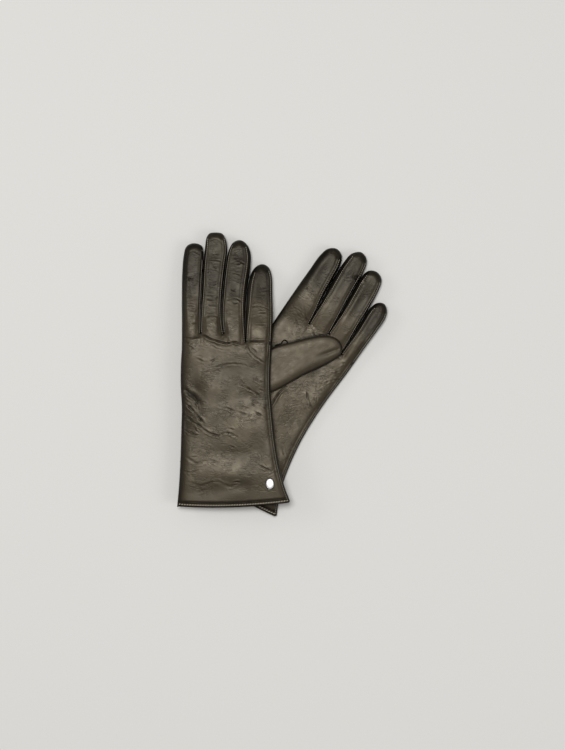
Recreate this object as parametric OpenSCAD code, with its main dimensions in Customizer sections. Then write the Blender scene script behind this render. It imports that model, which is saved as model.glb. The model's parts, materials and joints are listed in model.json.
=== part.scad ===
// A pair of long-cuffed, lined leather dress gloves, laid flat one across the other.
// The right-hand glove lies on top, back up. The left-hand glove lies under it, palm up.
// +X runs across the right glove's knuckles, +Y towards its fingertips, +Z up from the table.
// Each glove is drawn in its own frame: origin at the middle of the hem, fingers along +Y.

/* [Leather] */
// Thickness of the outer leather
leather_t = 1.1; // [0.8:0.1:1.3]
// Thickness of the knitted lining
lining_t = 1.0; // [0.8:0.1:1.1]
// Space left between a moving part and what it turns against
running_gap = 2.2; // [2:0.1:3]
// Width of the turned hem around the cuff opening
hem_w = 3.4; // [2.5:0.1:5]

/* [Right glove] */
// Thickness of the right hand and cuff as it lies
right_hand_t = 10.4; // [10:0.2:11]
// Sideways tilt of the right hand, which the left thumb under it lifts
right_tilt = 4.6; // [4.6:0.1:4.8]
// Height of the middle of the right hem above the table
right_lift = 13; // [13:0.1:14]

/* [Left glove] */
// Thickness of the left hand and cuff as it lies
left_hand_t = 8.4; // [8:0.1:8.6]
// Clockwise turn of the left glove from the right one
left_turn = 32.5; // [32:0.1:33]

/* [Fingers and thumbs] */
// Thickness of a finger as it lies
finger_t = 12; // [11:0.2:12]
// Thickness of a folded thumb
thumb_t = 5.6; // [5:0.1:5.8]
// Length of a thumb from its set-in root to its tip
thumb_len = 80; // [78:1:80]
// Distance from a thumb's root to its bending line
thumb_fold = 21; // [20:1:24]

/* [Badge] */
// Width of the oval metal badge
badge_w = 9; // [6:0.5:10]
// Height of the oval metal badge
badge_h = 11.4; // [8:0.2:12]
// Thickness of the badge plate
badge_t = 0.9; // [0.6:0.1:1.2]
// Radius of each clenched prong
prong_r = 0.45; // [0.3:0.05:0.5]

/* [Hidden] */
$fn = 48;
FINGER_NAMES = ["index", "middle", "ring", "little"];

// One row for each finger: root x, knuckle y, tip x, tip y, root width, tip width, droop in degrees.
ROOT_X = 0; KNUCKLE_Y = 1; TIP_X = 2; TIP_Y = 3; ROOT_W = 4; TIP_W = 5; DROOP = 6;
RIGHT_FINGERS = [
    [-42.4, 170, -39.2, 261.5, 17.6, 18.5, 4.9],
    [-21.7, 172, -18.4, 272.5, 20.2, 19.6, 5.4],
    [1.0, 168, 4.8, 265.0, 21.2, 21.6, 6.7],
    [25.8, 162, 27.6, 240.5, 24.4, 21.8, 9.8]
];
LEFT_FINGERS = [
    [-33.4, 184, -33.2, 262.5, 29.6, 22.4, 0],
    [-7.2, 187, -10.8, 272.5, 20.2, 20.8, 0],
    [14.4, 188, 12.6, 264.0, 19.6, 20.4, 0],
    [32.8, 182, 34.2, 241.0, 14.2, 16.6, 0]
];
// Hand outlines from hem to knuckles, as [x, y] down each side.
RIGHT_EDGE_IN = [[-55.4, 0], [-53, 55], [-51.6, 105], [-52.2, 130], [-51.6, 170]];
RIGHT_EDGE_OUT = [[54.6, 0], [47, 40], [41, 75], [38.2, 105], [38.4, 162]];
LEFT_EDGE_IN = [[-52.6, 0], [-50.8, 55], [-49.4, 105], [-49.6, 140], [-48.4, 184]];
LEFT_EDGE_OUT = [[57.0, 0], [44.4, 40], [38.6, 75], [37.2, 115], [40.2, 182]];
// Thumb roots: x, y and the thumb's direction in degrees from +X.
RIGHT_THUMB = [-37.5, 90, 82];
LEFT_THUMB = [-27.5, 121, 52.2];
// Where the middles of the two hems lie in the pair's frame.
RIGHT_PLACE = [-48.9, -129.92];
LEFT_PLACE = [-57.9, -113.92];
// Hem line: height of the cut edge across the cuff, y = a + b x + c x^2.
HEM_LINE = [-2.2, 0.0387, 0.00088];
HEM_STEPS = 8;
// How far the hollow is cut past the hem, and the height it is cut to past the knuckles.
HOLLOW_PAST = 40;
TOP_PAST = 220;
BADGE_AT = [37, 22];
PRONG_PITCH = 4.4;
PRONG_HOLE_R = 0.55;
BACKING_R = 3.6;
BACKING_T = 0.3;
CLENCH_R = 0.9;
CLENCH_T = 0.25;
PAD_DEPTH = 0.6;
// The hole where the thumb is set in: half sizes, and its middle from the thumb's root.
THUMB_HOLE = [13, 8];
THUMB_HOLE_AT = 12;
THUMB_GAP = 0.3;
LINING_GAP = 0.1;
THUMB_LINING_AT = leather_t + LINING_GAP;
TIP_SEAM = 0.2;
TIP_STEPS = 14;
TIP_POWER = 0.78;
THUMB_STEPS = 24;
THUMB_HALF_MAX = 20;
THUMB_HALF_TIP = 11.6;
EPS = 0.01;

HAND_PARTS = ["back", "palm", "fold_edge", "side_seam", "hem", "lining"];
FINGER_PARTS = ["back_tongue", "palm_tongue", "sidewalls", "lining"];
THUMB_PARTS = ["thumb_base", "thumb_tip", "thumb_base_lining", "thumb_tip_lining"];
BADGE_PARTS = ["badge_plate", "badge_prongs", "badge_backing"];
SIDES = ["right", "left"];
NODES = concat(
    [for (s = SIDES) for (p = HAND_PARTS) str(s, "_hand_", p)],
    [for (s = SIDES) for (f = FINGER_NAMES) for (p = FINGER_PARTS) str(s, "_", f, "_", p)],
    [for (s = SIDES) for (p = THUMB_PARTS) str(s, "_", p)],
    [for (p = BADGE_PARTS) str("right_", p)]
);
node = "all";

LEATHER = [0.30, 0.28, 0.24];
SIDE_LEATHER = [0.20, 0.19, 0.17];
KNIT = [0.13, 0.12, 0.12];
METAL = [0.86, 0.86, 0.87];

function is_right(s) = s == "right";
function hand_t(s) = is_right(s) ? right_hand_t : left_hand_t;
function fingers(s) = is_right(s) ? RIGHT_FINGERS : LEFT_FINGERS;
function edge_in(s) = is_right(s) ? RIGHT_EDGE_IN : LEFT_EDGE_IN;
function edge_out(s) = is_right(s) ? RIGHT_EDGE_OUT : LEFT_EDGE_OUT;
function thumb_at(s) = is_right(s) ? RIGHT_THUMB : LEFT_THUMB;
function hem_y(x) = HEM_LINE[0] + HEM_LINE[1] * x + HEM_LINE[2] * x * x;
function reverse(v) = [for (i = [len(v) - 1 : -1 : 0]) v[i]];
function signed_power(x, p) = sign(x) * pow(abs(x), p);

// The x where two neighbouring fingers part.
function gap_x(f, i) = (f[i][ROOT_X] + f[i][ROOT_W] / 2 + f[i + 1][ROOT_X] - f[i + 1][ROOT_W] / 2) / 2;

// The hem line from side to side at a height up from the cut edge.
function hem_line(x0, x1, up) = [for (i = [0 : HEM_STEPS])
    let (x = x0 + (x1 - x0) * i / HEM_STEPS) [x, hem_y(x) + up]];

// Plan of the hand and cuff above the hem strip, drawn in by e at the sides and by gap at the hem.
function hand_plan(s, e = 0, gap = 0) =
    let (f = fingers(s), a = edge_in(s), b = edge_out(s))
    concat(
        hem_line(a[0][0] + e, b[0][0] - e, hem_w + gap),
        [for (i = [1 : len(b) - 1]) [b[i][0] - e, b[i][1]]],
        [for (i = [3 : -1 : 1]) each [
            [gap_x(f, i - 1), f[i][KNUCKLE_Y]],
            [gap_x(f, i - 1), f[i - 1][KNUCKLE_Y]]]],
        reverse([for (i = [1 : len(a) - 1]) [a[i][0] + e, a[i][1]]])
    );

// Plan of the hollow inside the lining, drawn in by e and open at the hem and the knuckles.
function hollow_plan(s, e) =
    let (a = edge_in(s), b = edge_out(s))
    concat(
        [[a[0][0] + e, -HOLLOW_PAST], [b[0][0] - e, -HOLLOW_PAST]],
        [for (p = b) [p[0] - e, p[1]]],
        [[b[len(b) - 1][0] - e, TOP_PAST], [a[len(a) - 1][0] + e, TOP_PAST]],
        reverse([for (p = a) [p[0] + e, p[1]]])
    );

// Plan of a finger in its own frame, root at the origin, drawn in by e.
function finger_len(f) = norm([f[TIP_X] - f[ROOT_X], f[TIP_Y] - f[KNUCKLE_Y]]);
function finger_lean(f) = atan((f[TIP_X] - f[ROOT_X]) / (f[TIP_Y] - f[KNUCKLE_Y]));
function finger_plan(f, e = 0, start = running_gap) =
    let (l = finger_len(f), wt = f[TIP_W] / 2 - e, r = f[TIP_W] / 2,
         wr = f[ROOT_W] / 2 - e + (f[TIP_W] - f[ROOT_W]) / 2 * start / (l - r))
    concat(
        [[wr, start]],
        [for (i = [0 : TIP_STEPS]) let (a = 180 * i / TIP_STEPS)
            [wt * signed_power(cos(a), TIP_POWER), l - r + (r - e) * pow(sin(a), TIP_POWER)]],
        [[-wr, start]]
    );

// Half the thumb's width at a share u of its length, and its plan between two of its lines.
function thumb_half(u) = u < 0.25
    ? THUMB_HALF_MAX * pow(sin(360 * u), 0.5)
    : THUMB_HALF_MAX + (THUMB_HALF_TIP - THUMB_HALF_MAX) * min(1, (u - 0.25) / 0.62);
function thumb_tip_round(v, e) =
    let (r = THUMB_HALF_TIP, d = max(0, v - (thumb_len - r)))
    d == 0 ? 1 : sqrt(max(0, 1 - pow(d / (r - e), 2)));
function thumb_plan(v0, v1, e = 0) =
    let (side = [for (i = [0 : THUMB_STEPS])
        let (v = v0 + (v1 - v0) * sin(90 * i / THUMB_STEPS), u = max(0.004, v / thumb_len))
        [max(0.02, (thumb_half(u) - e) * thumb_tip_round(v, e)), v]])
    concat(side, reverse([for (p = side) [-p[0], p[1]]]));

// Carries a glove from its own frame to its place in the pair.
module placed(s) {
    if (is_right(s))
        translate([RIGHT_PLACE[0], RIGHT_PLACE[1], right_lift]) rotate([0, -right_tilt, 0]) children();
    else
        translate([LEFT_PLACE[0], LEFT_PLACE[1], 0]) rotate([0, 0, -left_turn]) children();
}

// A prism of a plan between two heights.
module slab(plan, z0, z1) {
    translate([0, 0, z0]) linear_extrude(z1 - z0) polygon(plan);
}

// The right palm faces down and the left palm faces up, so the back is the other side.
function palm_z(s) = is_right(s) ? 0 : hand_t(s) - leather_t;
function back_z(s) = is_right(s) ? hand_t(s) - leather_t : 0;

// The hole in the palm that the thumb is set into.
module thumb_hole(s, z0, z1) {
    t = thumb_at(s);
    translate([t[0], t[1], 0]) rotate([0, 0, t[2] - 90])
        thumb_mouth(z0, z1);
}

module hand_back(s) {
    z = back_z(s);
    color(LEATHER) difference() {
        slab(hand_plan(s), z, z + leather_t);
        if (is_right(s)) for (side = [-1, 1])
            translate([BADGE_AT[0], BADGE_AT[1] + side * PRONG_PITCH / 2, z - 1])
                cylinder(h = leather_t + 2, r = PRONG_HOLE_R);
    }
}

module hand_palm(s) {
    z = palm_z(s);
    color(LEATHER) difference() {
        slab(hand_plan(s), z, z + leather_t);
        thumb_hole(s, z - 1, z + leather_t + 1);
    }
}

// A strip that joins back and palm along one side of the hand.
module hand_side(s, edge, inwards) {
    outer = [for (p = edge) [p[0], p[1] + (p[1] == 0 ? hem_y(p[0]) + hem_w : 0)]];
    inner = reverse([for (p = outer) [p[0] + inwards * leather_t, p[1]]]);
    slab(concat(outer, inner), leather_t, hand_t(s) - leather_t);
}
module hand_fold_edge(s) { color(LEATHER) hand_side(s, edge_in(s), 1); }
module hand_side_seam(s) { color(SIDE_LEATHER) hand_side(s, edge_out(s), -1); }

// The turned-in edge of the cuff: a flat ring that closes the leather onto the lining.
module hand_hem(s) {
    a = edge_in(s)[0][0];
    b = edge_out(s)[0][0];
    t = hand_t(s);
    fold = leather_t + lining_t;
    strip = concat(hem_line(a, b, 0), reverse(hem_line(a, b, hem_w)));
    color(LEATHER) union() {
        slab(strip, 0, fold);
        slab(strip, t - fold, t);
        for (end = [[a, 1], [b, -1]]) let (y = hem_y(end[0]), x = end[0] + end[1] * fold)
            slab([[end[0], y], [x, y], [x, y + hem_w], [end[0], y + hem_w]], fold - EPS, t - fold + EPS);
    }
}

module hand_lining(s) {
    t = hand_t(s);
    in = leather_t + lining_t;
    color(KNIT) difference() {
        slab(hand_plan(s, leather_t, LINING_GAP), leather_t, t - leather_t);
        slab(hollow_plan(s, in), in, t - in);
        thumb_hole(s, palm_z(s) - lining_t - EPS, palm_z(s) + leather_t + lining_t + EPS);
        if (is_right(s))
            translate([BADGE_AT[0], BADGE_AT[1], t - leather_t - PAD_DEPTH])
                cylinder(h = PAD_DEPTH + 1, r = BACKING_R + 0.3);
    }
}

// Carries a finger from its own frame, root at the knuckle line, to its glove's frame.
// A finger of the right glove droops about the upper edge of its knuckle line.
module finger_frame(s, i) {
    f = fingers(s)[i];
    top = is_right(s) ? right_hand_t : finger_t;
    translate([f[ROOT_X], f[KNUCKLE_Y], top])
        rotate([0, is_right(s) ? right_tilt : 0, 0])
        rotate([0, 0, -finger_lean(f)])
        rotate([-f[DROOP], 0, 0])
        translate([0, 0, -finger_t])
        children();
}
module finger_tongue(s, i, z) {
    color(LEATHER) finger_frame(s, i) slab(finger_plan(fingers(s)[i]), z, z + leather_t);
}
module finger_sidewalls(s, i) {
    f = fingers(s)[i];
    color(SIDE_LEATHER) finger_frame(s, i)
        for (side = [-1, 1]) intersection() {
            difference() {
                slab(finger_plan(f), leather_t, finger_t - leather_t);
                slab(finger_plan(f, leather_t, 0), 0, finger_t);
            }
            translate([side > 0 ? TIP_SEAM : -50 - TIP_SEAM, -10, 0]) cube([50, 200, finger_t]);
        }
}
module finger_lining(s, i) {
    f = fingers(s)[i];
    in = leather_t + lining_t;
    color(KNIT) finger_frame(s, i) difference() {
        slab(finger_plan(f, leather_t), leather_t, finger_t - leather_t);
        slab(finger_plan(f, in, 0), in, finger_t - in);
    }
}

// Carries a thumb to its place against the palm.
module thumb_frame(s) {
    t = thumb_at(s);
    z = is_right(s) ? -THUMB_GAP - thumb_t : hand_t(s) + THUMB_GAP;
    translate([t[0], t[1], z]) rotate([0, 0, t[2] - 90]) children();
}
module thumb_mouth(z0, z1) {
    slab([for (a = [0 : 15 : 345]) [THUMB_HOLE[0] * cos(a), THUMB_HOLE_AT + THUMB_HOLE[1] * sin(a)]], z0, z1);
}
module thumb_shell(s, v0, v1, e_out, e_in, open0, open1) {
    mouth_z = is_right(s) ? thumb_t - e_in - EPS : -1;
    thumb_frame(s) difference() {
        slab(thumb_plan(v0, v1, e_out), e_out, thumb_t - e_out);
        slab(thumb_plan(v0 + (open0 ? -3 : e_in), v1 + (open1 ? 3 : 0), e_in), e_in, thumb_t - e_in);
        if (!open0) thumb_mouth(mouth_z, mouth_z + e_in + 1 + EPS);
    }
}
module thumb_base(s) { color(LEATHER) thumb_shell(s, 0, thumb_fold, 0, leather_t, false, true); }
module thumb_tip(s) {
    color(LEATHER) thumb_shell(s, thumb_fold + running_gap, thumb_len, 0, leather_t, true, false);
}
module thumb_base_lining(s) {
    color(KNIT) thumb_shell(s, THUMB_LINING_AT, thumb_fold, THUMB_LINING_AT, leather_t + lining_t, false, true);
}
module thumb_tip_lining(s) {
    color(KNIT) thumb_shell(s, thumb_fold + running_gap, thumb_len, THUMB_LINING_AT, leather_t + lining_t, true, false);
}

// The badge: a plain oval plate on the back of the right cuff, held by two clenched prongs.
function oval(w, h) = [for (a = [0 : 10 : 350]) [w / 2 * cos(a), h / 2 * sin(a)]];
module badge_frame() { placed("right") translate([BADGE_AT[0], BADGE_AT[1], right_hand_t]) children(); }
module badge_plate() {
    color(METAL) badge_frame() difference() {
        slab(oval(badge_w, badge_h), 0, badge_t);
        difference() {
            slab(oval(badge_w - 1.4, badge_h - 1.4), badge_t - 0.25, badge_t + 1);
            slab(oval(badge_w - 4, badge_h - 4), badge_t - 0.5, badge_t + 1);
        }
    }
}
module badge_prongs() {
    depth = leather_t + BACKING_T;
    color(METAL) badge_frame() for (side = [-1, 1]) translate([0, side * PRONG_PITCH / 2, 0]) {
        translate([0, 0, -depth]) cylinder(h = depth, r = prong_r);
        translate([0, 0, -depth - CLENCH_T]) cylinder(h = CLENCH_T, r = CLENCH_R);
    }
}
module badge_backing() {
    color(METAL) badge_frame() difference() {
        translate([0, 0, -leather_t - BACKING_T]) cylinder(h = BACKING_T, r = BACKING_R);
        for (side = [-1, 1]) translate([0, side * PRONG_PITCH / 2, -leather_t - BACKING_T - 1])
            cylinder(h = 3, r = PRONG_HOLE_R);
    }
}

function shown(name) = node == "all" || node == name;

for (s = SIDES) {
    if (shown(str(s, "_hand_back"))) placed(s) hand_back(s);
    if (shown(str(s, "_hand_palm"))) placed(s) hand_palm(s);
    if (shown(str(s, "_hand_fold_edge"))) placed(s) hand_fold_edge(s);
    if (shown(str(s, "_hand_side_seam"))) placed(s) hand_side_seam(s);
    if (shown(str(s, "_hand_hem"))) placed(s) hand_hem(s);
    if (shown(str(s, "_hand_lining"))) placed(s) hand_lining(s);
    for (i = [0 : 3]) {
        name = str(s, "_", FINGER_NAMES[i]);
        palm = is_right(s) ? 0 : finger_t - leather_t;
        if (shown(str(name, "_back_tongue"))) placed(s) finger_tongue(s, i, finger_t - leather_t - palm);
        if (shown(str(name, "_palm_tongue"))) placed(s) finger_tongue(s, i, palm);
        if (shown(str(name, "_sidewalls"))) placed(s) finger_sidewalls(s, i);
        if (shown(str(name, "_lining"))) placed(s) finger_lining(s, i);
    }
    if (shown(str(s, "_thumb_base"))) placed(s) thumb_base(s);
    if (shown(str(s, "_thumb_tip"))) placed(s) thumb_tip(s);
    if (shown(str(s, "_thumb_base_lining"))) placed(s) thumb_base_lining(s);
    if (shown(str(s, "_thumb_tip_lining"))) placed(s) thumb_tip_lining(s);
}
if (shown("right_badge_plate")) badge_plate();
if (shown("right_badge_prongs")) badge_prongs();
if (shown("right_badge_backing")) badge_backing();
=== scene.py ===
"""A pair of long-cuffed, lined leather dress gloves, one laid across the other.

Each glove is one leather skin laid out from its cutting pattern in millimetres, then parted where
the real one is sewn or bends: hand, fingers, forks between the fingers, side seam and hem.
"""
import json
import math

import bmesh
import bpy
import numpy as np
from mathutils import Matrix, Vector, geometry, kdtree, noise


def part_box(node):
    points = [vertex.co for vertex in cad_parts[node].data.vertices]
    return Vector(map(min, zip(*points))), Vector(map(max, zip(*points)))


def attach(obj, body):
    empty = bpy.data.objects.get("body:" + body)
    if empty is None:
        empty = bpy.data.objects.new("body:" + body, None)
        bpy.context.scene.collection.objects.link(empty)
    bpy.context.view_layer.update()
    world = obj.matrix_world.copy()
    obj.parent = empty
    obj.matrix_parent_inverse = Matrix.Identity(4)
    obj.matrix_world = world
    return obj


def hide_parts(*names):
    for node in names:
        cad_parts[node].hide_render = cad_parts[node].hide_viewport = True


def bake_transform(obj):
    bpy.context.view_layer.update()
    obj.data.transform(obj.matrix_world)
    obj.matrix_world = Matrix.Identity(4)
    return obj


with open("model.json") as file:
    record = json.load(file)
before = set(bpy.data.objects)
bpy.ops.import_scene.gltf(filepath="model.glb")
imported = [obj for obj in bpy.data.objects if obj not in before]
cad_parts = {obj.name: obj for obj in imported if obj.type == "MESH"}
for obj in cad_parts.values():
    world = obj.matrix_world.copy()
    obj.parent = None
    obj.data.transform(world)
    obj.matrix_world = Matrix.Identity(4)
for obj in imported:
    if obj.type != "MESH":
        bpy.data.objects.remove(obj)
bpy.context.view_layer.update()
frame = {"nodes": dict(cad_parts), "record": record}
JOINTS = {joint["name"]: joint for joint in frame["record"]["behaviour"]["joints"]}

bl_info = {
    "name": "Leather dress gloves",
    "version": (1, 0, 0),
    "blender": (4, 5, 0),
    "location": "View3D > Sidebar > Gloves",
    "description": "Builds a pair of long-cuffed leather gloves on its packed frame",
    "category": "Add Mesh",
}

MM = 0.001
FINGERS = ("index", "middle", "ring", "little")


def linear(code):
    """A hex sRGB colour as linear red, green and blue."""
    parts = [int(code[i : i + 2], 16) / 255 for i in (1, 3, 5)]
    return [c / 12.92 if c <= 0.04045 else ((c + 0.055) / 1.055) ** 2.4 for c in parts]


# ---------------------------------------------------------------------------
# The cutting patterns, in each glove's own frame: the middle of the hem is the
# origin, the fingers point along +Y, and every number is in millimetres.
# ---------------------------------------------------------------------------

RIGHT = {
    "side": "right",
    # The four runs of the outline, parted at the three forks between the fingers.
    "runs": [
        [(-56.6, -1.9), (-54.9, 17), (-53.3, 45), (-52.4, 75), (-51.9, 98), (-52.9, 118), (-52.9, 138),
         (-51.9, 158), (-51.8, 180), (-52, 205), (-51.7, 232), (-50.4, 249), (-48.0, 258.2), (-43.4, 261.6),
         (-37.2, 261.9), (-32.2, 259.4), (-30.3, 253), (-31.0, 240), (-32.4, 215), (-33.3, 190), (-33.1, 171.6)],
        [(-33.1, 171.6), (-32.75, 190), (-31.85, 215), (-30.6, 240), (-28.9, 257), (-27.4, 267.6), (-24.2, 272.1),
         (-18, 272.9), (-11.6, 271.8), (-7.8, 265.5), (-6.6, 253), (-8.3, 240), (-11.0, 215),
         (-12.3, 192), (-10.3, 171.4)],
        [(-10.3, 171.4), (-11.8, 192), (-10.5, 215), (-7.9, 240), (-4.9, 255), (-0.6, 262.8), (6.5, 265.3),
         (13.0, 261.2), (17.0, 252), (17.0, 240), (14.2, 220), (12.4, 202), (11.4, 182), (11.9, 163.2)],
        [(11.9, 163.2), (11.9, 182), (12.95, 202), (14.7, 220), (17.4, 231.5), (22.3, 238.6), (28.8, 241.2),
         (34.9, 238.2), (38.1, 230.5), (38.9, 214), (39.3, 190), (38.6, 167), (37.5, 145), (36.8, 120),
         (38.4, 95), (41.6, 64), (46.4, 36), (51.6, 17.5), (56.6, 4.7)],
    ],
    "tips": (261.5, 272.7, 265.2, 241.0),
    "gap_tops": ((-31.2, 250), (-6.6, 250), (16.9, 232)),
    "hand_rim": 12.0,
    "finger_rims": (7.0, 7.4, 7.8, 8.8),
    # Distance of the seams from each finger's edges: left then right side, each at the root and from the middle on.
    "seams": (((2.0, 2.0), (1.3, 1.3)), ((1.7, 2.9), (1.3, 2.2)), ((1.7, 2.4), (1.5, 4.0)), ((2.3, 4.2), (2.3, 2.3))),
    # The four places where the leather bends into a finger, and how far each finger droops there, in degrees.
    "knuckles": ((-42.4, 170), (-21.7, 172), (1.0, 168), (25.8, 162)),
    "droops": (4.9, 5.4, 6.7, 9.8),
    "hand_thickness": 10.4,
    # Height along the glove where painted shade starts to darken the fingers towards their tips, the tone before that,
    # and how much the painted shade darkens the tips.
    "tone": (184, 0.66, 0.6),
    "finger_tones": (-0.04, -0.05, -0.05, 0.0),
    # How far the painted edge shade reaches in: beside a fork, at a fingertip and along the fold.
    "edge_reach": (1.55, 2.6, 4.9),
    "fork_shade": 2.3,
    # Angle and seed of the slow swelling of the leather.
    "swell": (25, 3.7),
    # The thumb: its outline, the middle of its root, its angle in degrees, and its lowest and highest points.
    "thumb": [(-45, 82), (-50.5, 95), (-52.4, 115), (-52.2, 135), (-47.4, 154), (-41.5, 164.5), (-35, 168.5),
              (-28.5, 166), (-24.5, 158), (-20.8, 140), (-18.2, 115), (-20, 96), (-27, 84), (-36, 79.5)],
    "thumb_root": (-37.5, 90.0),
    "thumb_angle": 82,
    "thumb_heights": (-4.4, -0.3),
    # Painted shadow along lines, such as the one the thumb's edge casts on the palm: half width and line.
    "shadow_lines": [],
    # Bundles of short creases: middle, spread, angle in degrees and how many.
    "bundles": [(-42, 212, 4, 32, 4, 10), (-20, 222, 4, 32, 6, 10), (3, 216, 4, 32, -6, 10), (27, 203, 5, 24, 3, 8),
                (26, 112, 9, 14, -30, 11), (-42, 86, 7, 14, -36, 10), (16, 151, 14, 6, -38, 8),
                (-36, 159, 12, 4, -12, 7), (-18, 62, 24, 16, -9, 8), (38, 36, 6, 9, 22, 6), (-8, 162, 12, 4, -24, 6), (-4, 26, 24, 8, 8, 6)],
    # Folds in the leather: depth, width and the line along the bottom of each.
    "folds": [
        (1.05, 0.85, [(-51, 167.4), (-44, 166.6), (-36, 167.8), (-30, 169.6), (-23, 166.0), (-14, 163.4),
                      (-7, 161.6), (2, 162.8), (7, 161.4), (11, 161.6)]),
        (1.0, 0.85, [(11, 161.4), (18, 163.4), (27, 163.2), (38, 165.5)]),
        (0.25, 0.9, [(-28, 162), (-18, 157), (-6, 154.5), (4, 156.5)]),
        (0.4, 1.0, [(-50, 162.5), (-42, 162), (-36, 164)]),
        (0.55, 1.1, [(12.4, 159.5), (17, 152.5), (23, 147.0), (31, 141.5)]),
        (0.3, 1.0, [(13, 158), (22, 153), (33, 151)]),
        (0.4, 1.0, [(-33, 171), (-29, 165), (-22, 160)]),
        (0.35, 1.0, [(-10.5, 171), (-6, 166), (-2, 164)]),
        (0.9, 2.2, [(-51, 117), (-45, 112.5), (-38.5, 107.5), (-33.5, 101.5)]),
        (0.75, 1.4, [(-51, 103.5), (-42, 96.5), (-35.5, 88), (-29, 82)]),
        (0.75, 1.3, [(-51, 91), (-43, 84.5), (-34, 79.5), (-25, 72.5), (-15, 69.5)]),
        (0.45, 1.2, [(-15, 70), (-5, 72), (4, 68.5)]),
        (0.5, 1.1, [(-50, 76), (-42, 71.5), (-34, 70)]),
        (0.35, 1.0, [(-50, 110), (-41, 104), (-36, 97)]),
        (0.45, 1.2, [(38, 84), (27, 90), (14, 97), (4, 100)]),
        (0.45, 1.2, [(37, 105), (27, 108.5), (14, 117), (6, 120)]),
        (0.3, 1.0, [(37, 120), (27, 124), (17, 131)]),
        (0.35, 1.2, [(38, 95), (28, 99), (18, 106)]),
        (0.35, 1.4, [(-14, 99), (-2, 95), (8, 92), (20, 88)]),
        (0.3, 1.2, [(-32, 131), (-14, 139), (4, 141), (20, 137)]),
        (0.3, 1.2, [(-40, 148), (-28, 143), (-16, 146)]),
        (0.4, 1.8, [(-47, 48), (-36, 42), (-24, 45), (-10, 41)]),
        (0.35, 1.6, [(-46, 24), (-32, 20), (-18, 24), (-4, 19), (8, 24)]),
        (0.35, 1.3, [(44, 33), (34, 36), (24, 41)]),
        (0.3, 1.2, [(-52, 36), (-44, 33), (-36, 35)]),
        (0.4, 1.1, [(-33.5, 196), (-38, 193.5), (-46, 196)]),
        (0.4, 1.1, [(-31, 186), (-22, 189.5), (-13, 187)]),
        (0.35, 1.0, [(-30, 207), (-21, 205), (-12, 209)]),
        (0.4, 1.1, [(-9, 204), (2, 206.5), (10, 202)]),
        (0.3, 1.0, [(14, 196), (25, 199), (37, 195)]),
        (0.35, 1.0, [(-50, 222), (-42, 226), (-33, 223)]),
        (0.35, 1.0, [(-29, 231), (-20, 235), (-10, 231)]),
        (0.35, 1.0, [(-6, 240), (4, 244), (14, 240)]),
        (0.45, 1.0, [(-27, 263), (-18, 266), (-10, 262)]),
        (0.35, 1.0, [(-48, 250), (-40, 254), (-33, 250)]),
    ],
    # Broad hollows (+) and swellings (-): depth, middle and half sizes.
    "hollows": [
        (1.5, -40, 110, 9, 16), (1.1, -46, 80, 8, 14), (-0.9, -22, 120, 14, 18), (0.9, -8, 133, 16, 12),
        (-0.8, 14, 80, 16, 12), (0.9, 22, 108, 12, 9), (0.8, -2, 52, 22, 8), (-0.8, -10, 33, 24, 8),
        (0.8, -26, 14, 20, 8), (0.7, 24, 58, 10, 14), (-0.8, 6, 178, 8, 9), (-0.8, -22, 179, 8, 8),
        (0.9, 4, 212, 7, 10), (0.6, -22, 220, 6, 10), (-0.8, 24, 177, 8, 8), (0.6, 28, 215, 7, 10),
        (0.6, -41, 212, 6, 12), (-0.6, -41, 182, 7, 9), (0.7, -20, 250, 7, 6), (0.6, 5, 250, 7, 6),
        (-0.7, -40, 150, 9, 12), (0.7, 28, 132, 9, 10), (-0.6, 32, 150, 8, 8), (0.8, 6, 20, 14, 7),
    ],
}

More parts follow.
